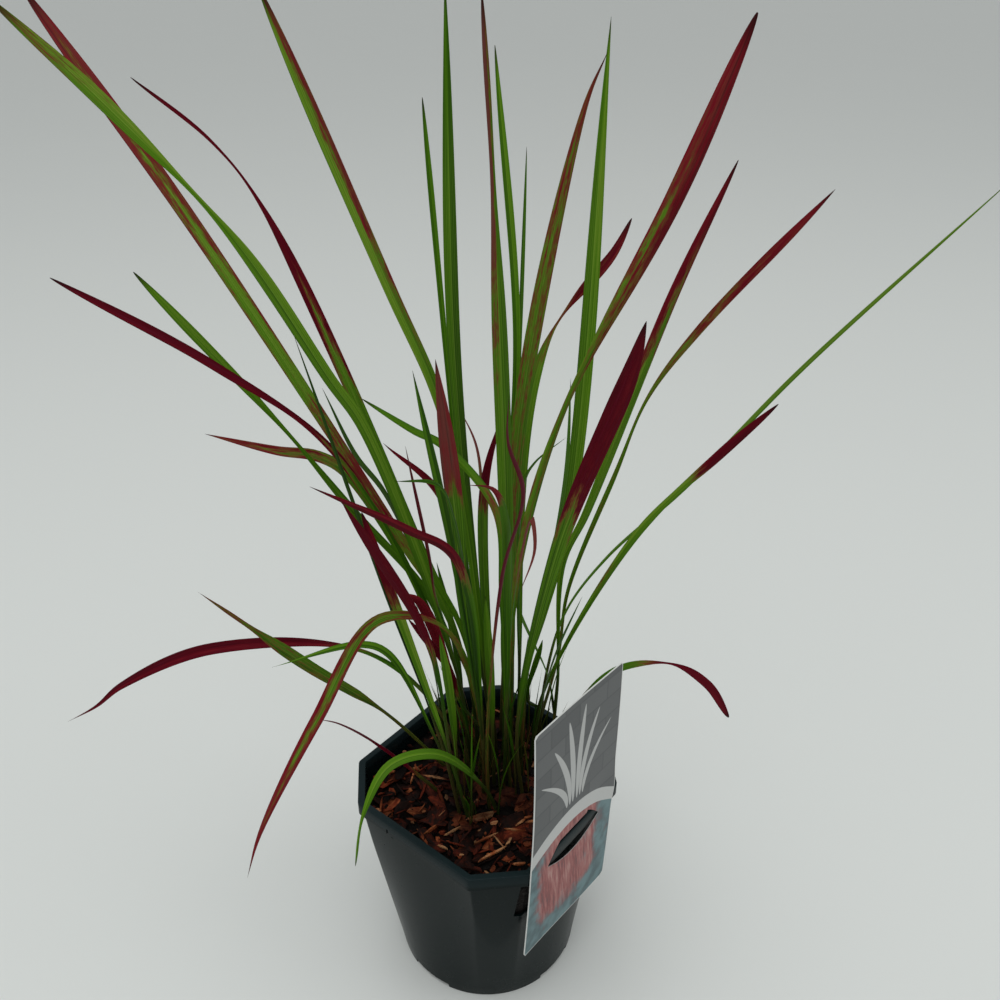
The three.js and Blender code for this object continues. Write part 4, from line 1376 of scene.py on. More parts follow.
class Lots:
    """Seeded draws from 0 to 1, by mixing a 32-bit state."""

    STEP = 0x6D2B79F5
    FULL = 0xFFFFFFFF

    def __init__(self, seed: int) -> None:
        """Starts from a seed."""
        self.state = seed

    def draw(self) -> float:
        """The next number.

        Returns:
            The number.
        """
        self.state = (self.state + self.STEP) & self.FULL
        mixed = ((self.state ^ (self.state >> 15)) * (1 | self.state)) & self.FULL
        mixed = ((mixed + (((mixed ^ (mixed >> 7)) * (61 | mixed)) & self.FULL)) & self.FULL) ^ mixed
        return ((mixed ^ (mixed >> 14)) & self.FULL) / (self.FULL + 1)

    def between(self, low: float, high: float) -> float:
        """The next number between two limits."""
        return low + (high - low) * self.draw()


@dataclass
class GrassClump:
    """The clump: grown stems where they stand, and young shoots between them."""

    mix_top: float = 124
    foot_depth: float = 6
    mulch_top: float = 129
    shoots: tuple[Span, ...] = ((-12, 34), (5, 4), (-9, 1), (27, 20), (9, 50), (-27, 33), (18, 8), (-17, -6))
    shoot_seed: int = 14
    shoot_swing: float = 0.6
    shoot_heights: Span = (110, 190)
    shoot_leans: Span = (0.1, 0.22)
    shoot_widths: Span = (4, 5.5)
    shoot_twist: float = 50
    centre: Span = (8, 20)
    form: BladeForm = BladeForm()
    gloom_reach: float = 13
    gloom_top: float = 215
    thin_seed: int = 5
    thin_count: int = 64
    thin_heights: Span = (16, 105)
    thin_widths: Span = (1.1, 2.4)
    thin_room: Span = (2.5, 6)
    thin_leans: Span = (0.02, 0.3)
    thin_sway: float = 0.22
    thin_sags: Span = (0.5, 0.9)
    thin_twist: float = 80
    withered: float = 0.45
    thin_form: BladeForm = BladeForm(
        sheath=(0.55 * MM, 0.45 * MM), thickness=0.3 * MM, least=0.4 * MM, row_step=8 * MM, ring=8, rows=14
    )

    def young_shoot(self, place: Span, lots: Lots) -> Stem:
        """A shoot that leans out from the clump's middle, with one narrow blade.

        Args:
            place: where it comes up, in millimetres.
            lots: the draws of its lean, height, width and turn.

        Returns:
            The shoot.
        """
        out = np.array(place) - self.centre
        out = out / np.linalg.norm(out)
        swing = lots.between(-self.shoot_swing, self.shoot_swing)
        cosine, sine = math.cos(swing), math.sin(swing)
        out = np.array([out[0] * cosine - out[1] * sine, out[0] * sine + out[1] * cosine])
        height = lots.between(*self.shoot_heights)
        lean = height * lots.between(*self.shoot_leans)

        def at(rise: float, reach: float) -> Triple:
            """The place so high over the mulch and so far out from the foot."""
            return (place[0] + out[0] * reach, place[1] + out[1] * reach, self.mulch_top + rise)

        slim, broad = self.shoot_widths
        width = lots.between(slim, broad)
        turn = (0.0, lots.between(-self.shoot_twist, self.shoot_twist))
        path = (at(height * 0.65, lean * 0.5), at(height, lean))
        tint = Tint(0.25 + 0.4 * (width - slim) / (broad - slim))
        return Stem(place, at(height * 0.3, lean * 0.2), (Blade(path, width, turn, tint),))

    def stem_skin(self, stem: Stem, form: BladeForm) -> Skin:
        """All blades of one stem.

        Args:
            stem: the stem.
            form: what its blades have in common.

        Returns:
            Their skin.
        """
        foot = (*stem.foot, self.mix_top - self.foot_depth)
        main = Spine(np.array([foot, stem.top, *stem.blades[0].path]) * MM)
        _, closed = main.at_stretch(1)
        parts = [Skin.of_rings(*form.rings(main, stem.blades[0], closed, 0.12, form.sheath))]
        for blade in stem.blades[1:]:
            start, _ = main.at_stretch(blade.leaves)
            second = Spine(np.vstack([start, np.array(blade.path) * MM]))
            parts.append(Skin.of_rings(*form.rings(second, blade, 0.08, 0.16, (form.second, form.second))))
        skin = Skin.join(parts)
        skin.stored["leaf_gloom"] = self.gloom(skin.points)
        return skin

    def gloom(self, points: Array) -> Array:
        """How dark it is at points, from 0 to 1: 1 - exp(-crowd / 3) at the mulch, fading upwards."""
        rise = 1 - smooth(self.mulch_top * MM, self.gloom_top * MM, points[:, 2])
        return rise * (1 - np.exp(-crowd_at(points, self.gloom_reach * MM) / 3))

    def thin_shoot(self, draws: Draws) -> Stem:
        """A thin leaf or a withered sheath beside one of the stems' feet.

        Args:
            draws: the seeded draws of its place, lean, height, width and tint.

        Returns:
            The shoot, with one blade.
        """
        feet = feet_places() / MM
        foot = feet[draws.integers(len(feet))]
        place = foot + heading(draws.uniform(0, 360))[:2] * draws.uniform(*self.thin_room)
        out = (place - self.centre) / np.linalg.norm(place - self.centre)
        beside = np.array([-out[1], out[0]])
        sway, twist = self.thin_sway, self.thin_twist
        lean = out * draws.uniform(*self.thin_leans) + beside * draws.uniform(-sway, sway)
        height = draws.uniform(*self.thin_heights)
        sag = draws.uniform(*self.thin_sags)

        def at(share: float) -> Triple:
            """The place at a share of the height, leaning as its square."""
            reach = height * (share * (1 - sag) + share * share * sag)
            return (*(place + lean * reach), self.mulch_top + height * share)

        kind = draws.uniform()
        if kind < self.withered:
            tint = Tint(0.2, wine=0.05, red_from=1.3, flush=draws.uniform(0.22, 0.5))
        else:
            tint = Tint(draws.uniform(0.15, 0.6), wine=0.7, red_from=draws.uniform(0.75, 1.5), spread=0.4)
        turn = (draws.uniform(-twist, twist), draws.uniform(-twist, twist))
        blade = Blade((at(0.65), at(1.0)), draws.uniform(*self.thin_widths), turn, tint, neck=0.45, peak=0.5)
        return Stem((place[0], place[1]), at(0.3), (blade,))

    def build(self) -> None:
        """Builds and dresses every stem, and the thin shoots among them."""
        lots = Lots(self.shoot_seed)
        stems = [*STEMS, *(self.young_shoot(place, lots) for place in self.shoots)]
        slots = {entry["node"]: entry["material_slot"] for entry in frame["record"]["subparts"]}
        finishes = {slot: GrassFinish(slot.value).material() for slot in (Slot.GREEN, Slot.CRIMSON)}
        for number, stem in enumerate(stems, start=1):
            node = f"leafy_stem_{number:02d}"
            slot = Slot(slots[node])
            skin = self.stem_skin(stem, self.form)
            piece = make_piece(f"grass_stem_{number:02d}", skin.points, skin.faces, skin.stored)
            settle(piece, finishes[slot], slot, node)
        draws = np.random.default_rng(self.thin_seed)
        shoots = [self.thin_shoot(draws) for _ in range(self.thin_count)]
        thin = Skin.join([self.stem_skin(shoot, self.thin_form) for shoot in shoots])
        piece = make_piece("thin_shoots", thin.points, thin.faces, thin.stored)
        settle(piece, finishes[Slot.GREEN], Slot.GREEN)


def feet_places() -> Array:
    """The (n, 2) places of all stems' feet, in metres."""
    return np.array([*(stem.foot for stem in STEMS), *GrassClump().shoots]) * MM


def crowd_at(points: Array, reach: float) -> Array:
    """How crowded points are by stems: the sum of exp(-(level distance to a foot / reach)^2)."""
    near = np.linalg.norm(points[:, None, :2] - feet_places()[None], axis=-1)
    return np.exp(-((near / reach) ** 2)).sum(axis=1)


STEMS: tuple[Stem, ...] = (
    Stem((-15, -20), (-27, -18, 189), (
        Blade(((-56, -7, 293), (-96, 19, 435)), 4, (15, 10), Tint(0.05)),
        Blade(((-55, -19, 258), (-69, -19, 264), (-121, -20, 248)), 4.2, (-75, -50), Tint(0.5), peak=0.6,
            draw=1.4, leaves=0.8),
    )),
    Stem((-9, -25), (-22, -24, 186), (
        Blade(((-63, -17, 350),), 5.4, (-65, -65), Tint(0.75, wine=0.6, red_from=0.76, spread=0.15),
            peak=0.84, draw=0.55),
        Blade(((-30, -33, 276), (-64, -68, 389)), 5.6, (55, 75),
            Tint(0.3, wine=0.62, red_from=0.4, spread=0.2), peak=0.76, draw=1.1, leaves=0.9),
    )),
    Stem((9, -17), (-1, -26, 158), (
        Blade(((-29, -37, 197), (-54, -49, 200), (-68, -65, 180), (-74, -76, 148)), 6.2, (-60, -20),
            Tint(0.56), peak=0.5, draw=0.6, pinch=(0.86, 0.55, 0.09)),
    )),
    Stem((-24, 0), (-62, -19, 184), (
        Blade(((-83, -37, 221), (-92, -45, 232)), 2.6, (-35, -10),
            Tint(0.3, wine=0.65, red_from=0.3, spread=0.2), peak=0.6, draw=0.7),
    )),
    Stem((-21, 21), (-64, 13, 183), (
        Blade(((-105, -1, 233), (-153, -25, 305)), 7.2, (-65, -65),
            Tint(0.42, wine=0.1, red_from=0.84, spread=0.44, edge=0.15, flush=0.24, ripe=0.9), peak=0.68,
            draw=1.3, pinch=(0.83, 0.5, 0.08)),
    )),
    Stem((-14, 12), (-30, 11, 187), (
        Blade(((-74, 10, 235), (-163, 6, 240), (-220, 3, 214), (-238, 1, 199), (-258, 0, 187)), 7,
            (-45, -65), Tint(0.4, wine=0.62, red_from=0.42, spread=0.15), peak=0.7, draw=1.3,
            pinch=(0.42, 0.5, 0.09)),
        Blade(((-17, 9, 201), (-21, 7, 217), (-38, -2, 282), (-49, -4, 288)), 7, (45, 100),
            Tint(0.4, wine=0.42, red_from=0.3, spread=0.2), leaves=0.9),
    )),
    Stem((-5, 12), (-4, 0, 189), (
        Blade(((-24, -21, 279), (-57, -36, 294), (-89, -60, 247), (-121, -87, 189), (-129, -97, 165)), 7.2,
            (-130, -25),
            Tint(0.66, wine=0.3, red_from=0.7, spread=0.36, edge=0.26, flush=0.32, stain=(0.49, 0.6, 0.05)),
            peak=0.66, draw=1, pinch=(0.45, 0.6, 0.07)),
        Blade(((-15, -1, 203), (-21, -6, 234), (-42, -21, 284)), 4.5, (55, 90),
            Tint(0.3, wine=0.6, red_from=0.3, spread=0.2), leaves=0.9),
    )),
    Stem((-19, 43), (-25, 44, 192), (
        Blade(((-83, 31, 359), (-138, 22, 414), (-208, 10, 466)), 4.8, (-90, -65),
            Tint(0.5, wine=0.6, red_from=0.56, spread=0.15, edge=0.1), neck=0.45, peak=0.86, draw=0.6,
            pinch=(0.68, 0.35, 0.06)),
        Blade(((-36, 43, 242), (-81, 52, 334), (-97, 54, 344), (-121, 57, 346), (-164, 63, 354)), 6.6,
            (-65, -55), Tint(0.5, wine=0.4, red_from=0.7, spread=0.5, edge=0.06, ripe=0.8), peak=0.7,
            draw=0.95),
    )),
    Stem((-15, 55), (-21, 55, 184), (
        Blade(((-37, 54, 244), (-80, 50, 311), (-113, 46, 366), (-174, 28, 463)), 5.4, (-75, -70),
            Tint(0.55), neck=0.75, peak=0.87, draw=0.6, pinch=(0.68, 0.6, 0.09)),
        Blade(((-26, 55, 212), (-60, 57, 316), (-76, 58, 342), (-92, 60, 385)), 5, (-15, -10), Tint(0.05)),
    )),
    Stem((-5, 35), (-12, 36, 195), (
        Blade(((-28, 38, 253), (-47, 40, 289), (-153, 61, 482), (-221, 82, 585)), 8.2, (-55, -55),
            Tint(0.72, wine=0.24, red_from=0.76, spread=0.46, edge=0.22, stain=(0.44, 0.74, 0.1)),
            neck=0.6, peak=0.85, draw=0.5),
    )),
    Stem((0, 26), (-6, 27, 186), (
        Blade(((-16, 28, 241), (-30, 29, 275), (-106, 34, 491), (-127, 35, 523), (-161, 36, 552)), 6.8,
            (-70, -70), Tint(0.65, wine=0.6, red_from=0.66, spread=0.17, edge=0.1), peak=0.62, draw=0.6,
            pinch=(0.87, 0.75, 0.08)),
        Blade(((-27, 1, 278), (-29, -12, 318), (-35, -49, 406)), 3.6, (95, 90),
            Tint(0.35, wine=0.55, red_from=0.45, spread=0.2)),
    )),
    Stem((-10, 24), (-17, 23, 199), (
        Blade(((-63, 17, 380), (-79, 15, 411), (-116, 11, 483), (-163, 7, 544), (-203, 3, 588)), 7.2,
            (-85, -70), Tint(0.66, wine=0.1, red_from=0.98, spread=0.35, ripe=0.75), neck=0.6, peak=0.86,
            draw=0.6, pinch=(0.79, 0.7, 0.06)),
    )),
    Stem((3, 13), (1, 13, 191), (
        Blade(((-13, 10, 353), (-24, 9, 406), (-44, 7, 461), (-90, 0, 592)), 6.4, (-95, -80),
            Tint(0.64, wine=0.22, red_from=0.88, spread=0.32, side=-0.36, ripe=0.76), neck=0.55,
            peak=0.85, draw=0.55),
        Blade(((-21, -7, 351), (-49, -20, 392)), 4.5, (40, 90),
            Tint(0.35, wine=0.5, red_from=0.72, spread=0.3)),
    )),
    Stem((-2, -4), (-2, -11, 189), (
        Blade(((-13, -56, 348), (-33, -73, 375), (-68, -110, 420)), 4.5, (-10, 95),
            Tint(0.35, wine=0.55, red_from=0.64, spread=0.14)),
        Blade(((-16, -34, 340), (-28, -70, 453)), 4, (30, 35), Tint(0.3)),
        Blade(((-13, -55, 370), (-20, -67, 396), (-37, -80, 405)), 4, (65, 115), Tint(0.2), leaves=0.9),
        Blade(((-12, -13, 290), (-15, -14, 352), (-22, -16, 435)), 9.5, (-80, -80),
            Tint(0.4, wine=0.14, red_from=0.7, spread=0.12, edge=0.04), neck=0.25, peak=0.74, draw=0.9),
    )),
    Stem((3, 39), (-1, 39, 188), (
        Blade(((-15, 35, 407), (-15, 26, 595)), 7, (60, 55), Tint(0.38), neck=0.6, peak=0.7),
    )),
    Stem((-2, 50), (-6, 52, 188), (
        Blade(((-15, 62, 303), (-32, 100, 533)), 3.4, (-25, -25), Tint(0.42), peak=0.86, draw=0.55),
    )),
    Stem((11, -1), (12, -6, 185), (
        Blade(((10, -19, 295), (6, -14, 351), (-21, -3, 382), (-35, -3, 390), (-60, -7, 410)), 4.4,
            (50, 135), Tint(0.45, wine=0.1, stain=(0.72, 0.4, 0.05)), peak=0.82, draw=0.6),
        Blade(((13, -31, 285), (7, -86, 403), (-5, -100, 415)), 4.5, (-10, 40),
            Tint(0.4, wine=0.4, red_from=0.88, spread=0.06), leaves=0.9),
    )),
    Stem((12, 17), (11, 15, 190), (
        Blade(((13, 9, 276), (6, -26, 514), (2, -50, 594)), 8, (10, 10),
            Tint(0.55, wine=0.0, red_from=0.82, spread=0.34, side=-0.26), neck=0.8, peak=0.58, draw=0.6,
            pinch=(0.85, 0.6, 0.1)),
    )),
    Stem((7, 31), (3, 30, 189), (
        Blade(((0, 23, 341), (10, 20, 389)), 6, (-5, -20),
            Tint(0.45, wine=0.6, red_from=0.78, spread=0.12), neck=0.5),
        Blade(((-2, 47, 276), (-5, 61, 345), (-15, 67, 369)), 4, (35, 40),
            Tint(0.35, wine=0.1, red_from=0.75, spread=0.4)),
    )),
    Stem((2, -14), (1, -21, 191), (
        Blade(((10, -60, 340), (19, -85, 401), (12, -104, 437), (12, -120, 465)), 2.8, (25, 40),
            Tint(0.3, wine=0.7, red_from=0.4, spread=0.5, flush=0.35)),
    )),
    Stem((16, 43), (17, 46, 193), (
        Blade(((15, 58, 315), (18, 76, 417), (6, 110, 557)), 4.5, (-10, -10), Tint(0.5), neck=0.3,
            peak=0.8, draw=0.6),
        Blade(((18, 71, 327), (24, 140, 500)), 3.6, (50, 50), Tint(0.3), peak=0.75, draw=0.7),
    )),
    Stem((17, 26), (16, 25, 184), (
        Blade(((18, 21, 372), (46, 12, 542), (55, 10, 566)), 8, (-65, -75),
            Tint(0.6, wine=0.26, red_from=0.82, spread=0.58, edge=0.06, flush=0.3, ripe=0.9), neck=0.5,
            peak=0.68, draw=0.9),
    )),
    Stem((23, 31), (21, 33, 192), (
        Blade(((32, 55, 408), (72, 85, 456), (81, 92, 472)), 6.4, (65, 50),
            Tint(0.62, wine=0.55, red_from=0.79, spread=0.2, ripe=0.92), neck=0.4, peak=0.88, draw=0.6,
            pinch=(0.82, 0.8, 0.05)),
        Blade(((22, 31, 338), (28, 31, 352), (45, 30, 369)), 4, (-5, -45), Tint(0.35)),
    )),
    Stem((23, 13), (23, 25, 189), (
        Blade(((49, 44, 314), (63, 83, 573)), 8.6, (20, 25), Tint(0.58), neck=0.5, peak=0.62),
        Blade(((45, 34, 337), (47, 40, 400)), 4, (100, 110), Tint(0.35)),
    )),
    Stem((24, -4), (19, -7, 187), (
        Blade(((39, -26, 334), (66, -51, 443), (70, -60, 471)), 9.6, (-45, -60),
            Tint(0.5, wine=0.62, red_from=0.67, spread=0.15, edge=0.05), peak=0.85, draw=0.8),
    )),
    Stem((16, -1), (13, -2, 192), (
        Blade(((20, -6, 317), (40, -11, 405), (84, -21, 512), (108, -30, 585)), 8.4, (-75, -90),
            Tint(0.62, wine=0.32, red_from=0.71, spread=0.58, edge=0.05, side=0.1, flush=0.24),
            peak=0.85, draw=0.55, pinch=(0.62, 0.6, 0.11)),
        Blade(((16, -26, 296), (24, -59, 372), (25, -71, 363), (18, -90, 353)), 3.5, (100, 40),
            Tint(0.5, wine=0.1, red_from=0.6, spread=0.4)),
    )),
    Stem((43, 39), (46, 37, 183), (
        Blade(((45, 18, 293), (56, 10, 332), (86, -26, 469), (103, -49, 534)), 5.6, (-35, -55),
            Tint(0.72, wine=0.45, red_from=0.77, spread=0.32, edge=0.06, side=-0.1, flush=0.1),
            peak=0.74, draw=0.6),
        Blade(((40, 40, 188), (21, 40, 240), (9, 40, 286)), 4, (-10, -20),
            Tint(0.45, wine=0.35, red_from=0.82, spread=0.15), leaves=0.6),
    )),
    Stem((30, 46), (47, 58, 189), (
        Blade(((52, 57, 246), (77, 56, 332), (92, 54, 382), (116, 53, 422), (176, 50, 498)), 5, (85, 70),
            Tint(0.62, wine=0.42, red_from=0.74, spread=0.56, edge=0.04, flush=0.2, ripe=0.95), neck=0.3,
            peak=0.88, draw=0.8, pinch=(0.62, 0.6, 0.1)),
    )),
    Stem((34, 41), (39, 44, 187), (
        Blade(((50, 43, 240), (73, 42, 281), (114, 40, 330), (170, 37, 407), (254, 30, 509)), 4.2,
            (115, 115), Tint(0.75), peak=0.66, draw=0.75),
    )),
    Stem((30, 30), (35, 26, 182), (
        Blade(((82, 0, 323), (117, -23, 387), (137, -40, 423)), 4.8, (-70, -95),
            Tint(0.75, wine=0.6, red_from=0.81, spread=0.08, stain=(0.53, 0.35, 0.05)), neck=0.3,
            peak=0.87, draw=0.65, pinch=(0.76, 0.3, 0.06)),
        Blade(((27, 24, 181), (33, -10, 260)), 3.5, (-15, -15), Tint(0.4), leaves=0.9),
    )),
    Stem((37, 21), (59, 21, 184), (
        Blade(((83, 22, 211), (115, 23, 214), (139, 24, 197), (157, 25, 167)), 5.6, (35, 75),
            Tint(0.5, wine=0.6, red_from=0.6, spread=0.16), neck=0.35, peak=0.86, draw=0.45,
            pinch=(0.67, 0.75, 0.07)),
    )),
)


# ---- Filling


@dataclass(frozen=True)
class ChipLayer:
    """One layer of chips: how many, their level and the spans of their sizes, in millimetres.

    breadth is a share of the length, and tone goes from black at 0 through red-brown to pale at 1.
    """

    count: int
    level: float
    length: Span
    breadth: Span
    thickness: Span
    tone: Span


@dataclass
class BarkMulch:
    """Layers of bark chips, crumbs and splinters on a near-black bed, with a few pale slivers. The bed's
    black and the lower layers' darker tones are painted shade.
    """

    pot: PotShape = PotShape()
    seed: int = 7
    inset: float = 2.6 * MM
    bed_levels: Span = (124.3 * MM, 127.6 * MM)
    # Painted shade: the lower layers reach less far towards pale tones than the upper ones.
    layers: tuple[ChipLayer, ...] = (
        ChipLayer(330, 127.2, (5, 12), (0.35, 0.75), (0.9, 2.2), (0.0, 0.62)),
        ChipLayer(240, 128.8, (5, 17), (0.34, 0.74), (0.8, 2.0), (0.02, 0.8)),
        ChipLayer(125, 130.5, (9, 25), (0.3, 0.7), (0.8, 2.0), (0.06, 0.92)),
        ChipLayer(420, 131.2, (2.5, 7), (0.25, 0.7), (0.5, 1.4), (0.04, 1.0)),
        ChipLayer(120, 132.2, (6, 19), (0.07, 0.15), (0.7, 1.2), (0.3, 1.0)),
    )
    slivers: tuple[tuple[float, float, float, float], ...] = (
        # place in mm, bearing in degrees, and length in mm
        (4, -55, 31, 27), (-1, -44, 32, 19), (-33, -36, 52, 17), (-26, -50, -30, 9), (14, -46, 60, 8),
        (30, -30, 10, 12), (-48, 6, 80, 14), (48, 22, 120, 13), (-38, 40, 40, 12), (20, -62, 5, 10),
    )
    sliver_level: float = 133.0 * MM
    corners: int = 8
    crease: float = 38
    room_level: float = 130 * MM
    bed_edge_level: float = 127 * MM
    chip_edge_level: float = 126 * MM
    reach: float = 84 * MM
    crowding: float = 1.45
    jitter: float = 2.2 * MM
    foot_room: float = 3.2 * MM
    gap: float = 0.4 * MM
    highest: float = 135.2 * MM
    shadow_reach: float = 12 * MM
    light_levels: Span = (127 * MM, 132.5 * MM)

    def inner_radius(self, places: Array, level: float) -> Array:
        """The wall's inner radius at a level, in the direction of each place."""
        angle = np.degrees(np.arctan2(places[:, 1], places[:, 0]))
        return self.pot.wall_radius(angle, level) - self.pot.wall

    def room(self, places: Array, margin: float) -> Array:
        """Tells which places lie inside the pot's wall, by so much."""
        return np.hypot(places[:, 0], places[:, 1]) < self.inner_radius(places, self.room_level) - margin

    def bed(self) -> tuple[Array, Arrays]:
        """The bed under the chips, which build paints near black as shade.

        Returns:
            Its points and faces.
        """
        angles = np.arange(0, 360, 3) + self.pot.turn
        radius = self.pot.wall_radius(angles, self.bed_edge_level) - self.inset
        rings = [heading(angles) * radius[:, None] + [0, 0, level] for level in self.bed_levels]
        return loft(np.stack(rings))

    def chip_skins(self, draws: Draws, places: Array, length: Array, shape: Named) -> tuple[Array, Array]:
        """Skins of many chips at once.

        A chip is three rings of corners: the lower and the upper are drawn in and the middle one
        stands out. The corners lie at uneven radii on a flat oval, which is then tilted and turned.

        Args:
            draws: the seeded draws.
            places: (chips, 3) middles.
            length: (chips,) lengths.
            shape: by name, (chips,) breadth, thickness, tilt about two axes, and turn.

        Returns:
            (chips, points, 3) places in the world, and the same places in each chip's own axes.
        """
        chips = len(places)
        turn = np.linspace(0, 2 * np.pi, self.corners, endpoint=False)
        turn = turn + draws.uniform(-0.25, 0.25, (chips, self.corners))
        uneven = draws.uniform(0.66, 1.14, (chips, self.corners))
        oval = np.stack([np.cos(turn) * uneven, np.sin(turn) * uneven], axis=-1)
        oval *= np.stack([length, shape["breadth"]], axis=-1)[:, None] / 2
        rings = []
        for level, draw_in in ((-0.5, 0.8), (0.05, 1.0), (0.5, 0.84)):
            ring = oval * draw_in * draws.uniform(0.93, 1.07, (chips, self.corners, 1))
            wave = draws.uniform(-0.16, 0.16, (chips, self.corners))
            height = (level + wave) * shape["thickness"][:, None]
            bend = shape["bend"][:, None] * (ring[..., 0] / length[:, None] * 2) ** 2
            rings.append(np.concatenate([ring, (height + bend)[..., None]], axis=-1))
        hubs = [ring.mean(axis=1, keepdims=True) for ring in (rings[0], rings[2])]
        own = np.concatenate([*rings, *hubs], axis=1)
        world = own @ np.transpose(turn_matrices(shape["roll"], shape["pitch"], shape["turn"]), (0, 2, 1))
        return world + places[:, None], own

    def chip_faces(self, chips: int) -> Arrays:
        """Faces of the chips' skins, in one array for quads and one for triangles.

        Args:
            chips: how many chips.

        Returns:
            The two arrays.
        """
        ring = self.corners
        count = 3 * ring + 2
        first = (np.arange(chips) * count)[:, None, None]
        quads = (ring_faces(3, ring)[None] + first).reshape(-1, 4)
        lower = cap_faces(0, ring, 3 * ring, False)
        upper = cap_faces(2 * ring, ring, 3 * ring + 1, True)
        return [quads, (np.vstack([lower, upper])[None] + first).reshape(-1, 3)]

    def scatter(self, draws: Draws, count: int, margin: float) -> Array:
        """Even, jittered places within the wall: a sunflower spiral, each place moved a little.

        Args:
            draws: the seeded draws.
            count: about how many.
            margin: their distance from the wall.

        Returns:
            The (n, 2) places.
        """
        index = np.arange(count * 2) + 0.5
        reach = self.reach * np.sqrt(index / (count * self.crowding))
        bearing = index * math.pi * (3 - math.sqrt(5)) + draws.uniform(0, 6.28)
        places = np.stack([np.cos(bearing) * reach, np.sin(bearing) * reach], axis=1)
        places += draws.normal(0, self.jitter, places.shape)
        places = places[self.room(places, margin)]
        return places[self.clear_of_stems(places)]

    def clear_of_stems(self, places: Array) -> Array:
        """Tells which places keep off the stems' feet."""
        near = np.linalg.norm(places[:, None] - feet_places()[None], axis=-1).min(axis=1)
        return near > self.foot_room

    def chips(self, draws: Draws) -> tuple[Arrays, Arrays, Arrays]:
        """Draws every chip and sliver.

        Args:
            draws: the seeded draws.

        Returns:
            For each layer its (chips, points, 3) places, own places and tones.
        """
        worlds, owns, tones = [], [], []
        for layer in self.layers:
            flat = self.scatter(draws, layer.count, layer.length[1] * 0.32 * MM)
            chips = len(flat)
            length = draws.uniform(*layer.length, chips) * MM
            shape = {
                "breadth": length * draws.uniform(*layer.breadth, chips),
                "thickness": draws.uniform(*layer.thickness, chips) * MM,
                "bend": draws.uniform(-0.9, 0.6, chips) * MM * np.minimum(length / (12 * MM), 1),
                "roll": draws.normal(0, 0.36, chips),
                "pitch": draws.normal(0, 0.22, chips),
                "turn": draws.uniform(0, 2 * np.pi, chips),
            }
            height = layer.level * MM + draws.uniform(-1.2, 1.0, chips) * MM
            world, own = self.chip_skins(draws, np.column_stack([flat, height]), length, shape)
            worlds.append(world)
            owns.append(own)
            tones.append(draws.beta(1.0, 1.6, chips) * (layer.tone[1] - layer.tone[0]) + layer.tone[0])
        sliver = np.array(self.slivers, float)
        chips = len(sliver)
        length = sliver[:, 3] * MM
        shape = {
            "breadth": draws.uniform(1.5, 2.4, chips) * MM,
            "thickness": draws.uniform(1.2, 1.8, chips) * MM,
            "bend": draws.uniform(-0.5, 0.5, chips) * MM,
            "roll": draws.normal(0, 0.1, chips),
            "pitch": draws.normal(0, 0.06, chips),
            "turn": np.radians(sliver[:, 2]),
        }
        places = np.column_stack([sliver[:, :2] * MM, np.full(chips, self.sliver_level)])
        world, own = self.chip_skins(draws, places, length, shape)
        return [*worlds, world], [*owns, own], [*tones, draws.uniform(0.78, 0.98, chips)]

    def kept_inside(self, points: Array) -> Array:
        """Points drawn in to just inside the pot's wall, and down to the mulch's highest level.

        Args:
            points: (n, 3) places.

        Returns:
            The places after that.
        """
        limit = self.inner_radius(points, self.chip_edge_level) - self.gap
        draw_in = np.minimum(limit / np.hypot(points[:, 0], points[:, 1]), 1)
        return np.column_stack([points[:, :2] * draw_in[:, None], np.minimum(points[:, 2], self.highest)])

    def light_on(self, points: Array) -> Array:
        """How much light reaches points, from 0 to 1: less deep between chips and close to the stems."""
        height = 0.08 + 0.92 * smooth(*self.light_levels, points[:, 2])
        return height * (0.12 + 0.88 / (1 + crowd_at(points, self.shadow_reach) * 0.9))

    def build(self) -> None:
        """Builds and dresses the mulch."""
        draws = np.random.default_rng(self.seed)
        worlds, owns, tones = self.chips(draws)
        world, own, tone = np.concatenate(worlds), np.concatenate(owns), np.concatenate(tones)
        chips, count, _ = world.shape
        skins = self.kept_inside(world.reshape(-1, 3))
        grain = own + draws.uniform(0, 9, (chips, 1, 3))
        bed_points, bed_faces = self.bed()
        points = np.vstack([bed_points, skins])
        faces = [*bed_faces, *(group + len(bed_points) for group in self.chip_faces(chips))]
        stored = {
            "bark_grain": np.vstack([bed_points, grain.reshape(-1, 3)]),
            # The bed's near-black tone is painted shade under the chips.
            "bark_tone_and_shade": np.concatenate([np.full(len(bed_points), 0.02), np.repeat(tone, count)]),
            "bark_light": self.light_on(points),
        }
        piece = make_piece("bark_chips", points, faces, stored, self.crease)
        settle(piece, BarkFinish().material(), Slot.BARK, "bark_mulch")


def turn_matrices(roll: Array, pitch: Array, turn: Array) -> Array:
    """(n, 3, 3) turns: about X by roll, then about Y by pitch, then about Z by turn.

    Args:
        roll: (n,) radians.
        pitch: (n,) radians.
        turn: (n,) radians.

    Returns:
        The matrices.
    """

    def about(axis: int, angle: Array) -> Array:
        """(n, 3, 3) turns about one axis.

        Args:
            axis: 0, 1 or 2 for X, Y or Z.
            angle: (n,) radians.

        Returns:
            The matrices.
        """
        first, second = [index for index in range(3) if index != axis]
        made = np.tile(np.eye(3), (len(angle), 1, 1))
        sign = -1 if axis == 1 else 1
        made[:, first, first] = made[:, second, second] = np.cos(angle)
        made[:, first, second] = -np.sin(angle) * sign
        made[:, second, first] = np.sin(angle) * sign
        return made

    return about(2, turn) @ about(1, pitch) @ about(0, roll)


# ---- Hang card


